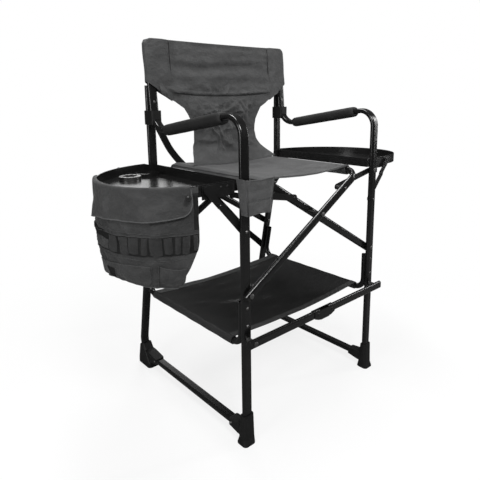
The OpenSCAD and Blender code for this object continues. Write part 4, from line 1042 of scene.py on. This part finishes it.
# Lower pockets with a hem, parted by a double seam
for k, (a, b, za, zb) in enumerate(((40, 277, 528, 556), (298, FULL - 44, 555, 545))):
    def low_edge(u, a=a, b=b):
        s = a + (b - a) * u
        r = 14.0
        e = max(0.0, 1 - min(u, 1 - u) * (b - a) / r)
        return pouch_low(s) + 5 + r * (1 - math.sqrt(max(0, 1 - min(1, e) ** 2)))

    def top_edge(u, za=za, zb=zb):
        return za + (zb - za) * math.sin(min(1, u * 1.25) * math.pi / 2)

    def puffed(u, v):
        puff = 2.0 * math.sin(math.pi * min(1, v * 1.1)) * math.sin(math.pi * u) ** 0.5
        return 1.6 + puff + 1.2 * noise.noise(Vector((u * 6, v * 2, 4.4)))

    _, G = pouch_sheet("pocket_%d" % k, (a, b), top_edge, low_edge, puffed, 1.6, "pouch", 70, 22)
    pts = [tuple(p) for p in G[0]]
    pieces.append(joined("pocket_hem_%d" % k, [tube_data(pts, 1.2, 6)], "binding"))
seam_parts = []
for s in (280, 295):
    pts = [on_pouch(s - 3 * (556 - z) / 50, z, 1.2) for z in np.linspace(558, 502, 30)]
    seam_parts.append(tube_data(pts, 0.8, 6))
pieces.append(joined("pocket_seams", seam_parts, "binding"))

# Tab, side straps and the seams across the face
tab, _ = pouch_sheet("tab_cloth", (REAR_ARC - 8, REAR_ARC + 20), 541, 514,
                     lambda u, v: 4.4 + 0.8 * v, 1.6, "elastic", 18, 12)
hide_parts("pouch_tab")
for k, (z1, z0) in enumerate(((700, 684), (604, 590))):
    pouch_sheet("side_strap_%d" % k, (5 + k * 9, 22 + k * 12), z1, z0,
                lambda u, v: 1.4 + 1.0 * math.sin(u * math.pi), 1.6, "pouch", 14, 6)
pouch_sheet("end_strap", (FULL - 22, FULL - 11), 722, 640, 1.0, 1.6, "strap", 8, 24)
for z, a, b in ((638.0, 30, FULL - 14), (573.0, 34, FULL - 20)):
    pts = [on_pouch(s, z + 1.5 * math.sin(s / 70), 0.5) for s in np.linspace(a, b, 120)]
    pieces.append(joined("seam_%d" % int(z), [tube_data(pts, 0.8, 6)], "binding"))
edge_line = ([on_pouch(pouch_ends(z)[0] + 1.0, z, 0.2) for z in np.linspace(722, 500, 50)]
             + [on_pouch(s, pouch_low(s) + 1.5, 0.0) for s in np.linspace(34, FULL - 62, 90)])
pieces.append(joined("pouch_edge_binding", [tube_data(edge_line, 1.5, 6)], "hem"))

for o in pieces:
    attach(o, "right_tray")
    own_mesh(o)

# Carrying strap
# Its points, as in the part's source. Eleven of the fourteen follow places that a program worked
# out from pixels picked in the photograph.
route = np.array([[-272, 452.8, 896], [-256, 452.8, 873], [-238, 459, 847], [-211, 476, 812],
                  [-180, 496, 776], [-140, 514, 738], [-84, 527, 688], [-14, 530, 621],
                  [59, 533, 548], [134, 535, 471], [212, 533, 390], [246, 529, 360],
                  [275, 526.6, 334], [288, 529, 322]], float)
steps = np.concatenate([[0], np.cumsum(np.linalg.norm(np.diff(route, axis=0), axis=1))])
fine = np.linspace(0, steps[-1], 120)
line = np.stack([np.interp(fine, steps, route[:, k]) for k in range(3)], 1)
for _ in range(8):
    line[1:-1] = (line[:-2] + 2 * line[1:-1] + line[2:]) / 4
T = np.gradient(line, axis=0)
T /= np.linalg.norm(T, axis=1, keepdims=True)
side_dir = np.stack([-T[:, 2], T[:, 0] * 0, T[:, 0]], 1)
side_dir /= np.linalg.norm(side_dir, axis=1, keepdims=True)
face = np.cross(T, side_dir)
G = np.zeros((len(line), 9, 3))
for j, w in enumerate(np.linspace(-1, 1, 9)):
    roll = 0.35 * ease(0.6, 0.95, fine / fine[-1]) * np.sin(fine / 60)
    G[:, j] = line + (side_dir * np.cos(roll)[:, None] + face * np.sin(roll)[:, None]) * 12.4 * w
strap = cloth("strap_webbing", G, 2.0, "strap")
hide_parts("carry_strap")
declare_sheet(G)
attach(strap, "right_frame")
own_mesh(strap)

# Stage
bpy.ops.mesh.primitive_plane_add(size=40, location=(0, 0, 0))
floor = bpy.context.object
floor.name = "floor"
fm, nt, bsdf = tree("floor_pale")
bsdf.inputs["Roughness"].default_value = 0.95
bsdf.inputs["Specular IOR Level"].default_value = 0.1
out_node = nt.nodes["Material Output"]
emit = nt.nodes.new("ShaderNodeEmission")
mixer = nt.nodes.new("ShaderNodeMixShader")
path = nt.nodes.new("ShaderNodeLightPath")
tc = nt.nodes.new("ShaderNodeTexCoord")
length = nt.nodes.new("ShaderNodeVectorMath")
length.operation = "LENGTH"
nt.links.new(tc.outputs["Object"], length.inputs[0])
far = nt.nodes.new("ShaderNodeMapRange")
far.interpolation_type = "SMOOTHSTEP"
far.inputs["From Min"].default_value = 0.5
far.inputs["From Max"].default_value = 1.5
far.inputs["To Min"].default_value = 0.80
far.inputs["To Max"].default_value = 1.0
nt.links.new(length.outputs["Value"], far.inputs["Value"])
gate = math_node(nt, "MULTIPLY", path.outputs["Is Camera Ray"], far.outputs["Result"])
nt.links.new(gate, mixer.inputs["Fac"])
# Black tubes mirror little of the pale floor
seen_floor = ramp(nt, path.outputs["Is Glossy Ray"], [(0.0, grey(0.86)), (1.0, grey(0.16))])
nt.links.new(seen_floor, bsdf.inputs["Base Color"])
nt.links.new(bsdf.outputs[0], mixer.inputs[1])
nt.links.new(emit.outputs[0], mixer.inputs[2])
nt.links.new(mixer.outputs[0], out_node.inputs["Surface"])
floor.data.materials.append(fm)

world = bpy.data.worlds.new("studio")
bpy.context.scene.world = world
world.use_nodes = True
nt = world.node_tree
bg = nt.nodes["Background"]
bg.inputs["Color"].default_value = (1, 1, 1, 1)
path = nt.nodes.new("ShaderNodeLightPath")
seen_rays = math_node(nt, "MAXIMUM", path.outputs["Is Camera Ray"], path.outputs["Is Transmission Ray"])
gloss = math_node(nt, "MULTIPLY", path.outputs["Is Glossy Ray"], 0.10)
ambient = math_node(nt, "MULTIPLY",
                    math_node(nt, "SUBTRACT", 1.0, path.outputs["Is Glossy Ray"]), 0.22)
level = math_node(nt, "MAXIMUM", seen_rays, math_node(nt, "MAXIMUM", gloss, ambient))
nt.links.new(level, bg.inputs["Strength"])


def lamp(name, spot, aim, size, power):
    data = bpy.data.lights.new(name, "AREA")
    data.shape = "RECTANGLE"
    data.size, data.size_y = size
    data.energy = power
    o = bpy.data.objects.new(name, data)
    bpy.context.scene.collection.objects.link(o)
    o.location = spot
    o.rotation_euler = (Vector(aim) - Vector(spot)).to_track_quat("-Z", "Y").to_euler()


# Most lamps aim at the middle of the chair
LAMP_AIM = (0, 0, 0.7)
lamp("key", (-0.9, -2.3, 2.9), LAMP_AIM, (1.0, 0.8), 74)
lamp("left", (-2.7, -0.5, 1.4), LAMP_AIM, (0.7, 1.9), 30)
lamp("right", (2.5, -1.3, 1.5), LAMP_AIM, (0.22, 1.9), 24)
lamp("top", (0.2, 0.4, 3.0), LAMP_AIM, (0.5, 1.8), 46)
lamp("behind", (1.2, 2.7, 1.35), (-0.2, 0.0, 0.7), (1.7, 0.8), 7)

# Camera
# The photo's camera, in pixels of its 480 by 480 frame
PHOTO_PX, FOCAL_PX, CENTRE_X_PX, CENTRE_Y_PX = 480, 463.92, 243.44, 189.94
YAW, PITCH, ROLL = math.radians(41.11), math.radians(11.18), math.radians(-0.73)
forward = Vector((math.sin(YAW) * math.cos(PITCH), math.cos(YAW) * math.cos(PITCH),
                  -math.sin(PITCH)))
right = Vector((math.cos(YAW), -math.sin(YAW), 0))
up = right.cross(forward)
rolled_right = math.cos(ROLL) * right + math.sin(ROLL) * up
rolled_up = -math.sin(ROLL) * right + math.cos(ROLL) * up
cam_data = bpy.data.cameras.new("camera")
cam = bpy.data.objects.new("camera", cam_data)
bpy.context.scene.collection.objects.link(cam)
eye = Vector(place(-1028.8, -855.0, 942.8))
rot = Matrix((rolled_right, rolled_up, -forward)).transposed()
cam.matrix_world = Matrix.Translation(eye) @ rot.to_4x4()
cam_data.sensor_width = 36
cam_data.lens = FOCAL_PX / PHOTO_PX * 36
cam_data.shift_x = (PHOTO_PX / 2 - CENTRE_X_PX) / PHOTO_PX
cam_data.shift_y = (CENTRE_Y_PX - PHOTO_PX / 2) / PHOTO_PX
cam_data.clip_end = 60
bpy.context.scene.camera = cam
bpy.context.scene.view_settings.view_transform = "Standard"
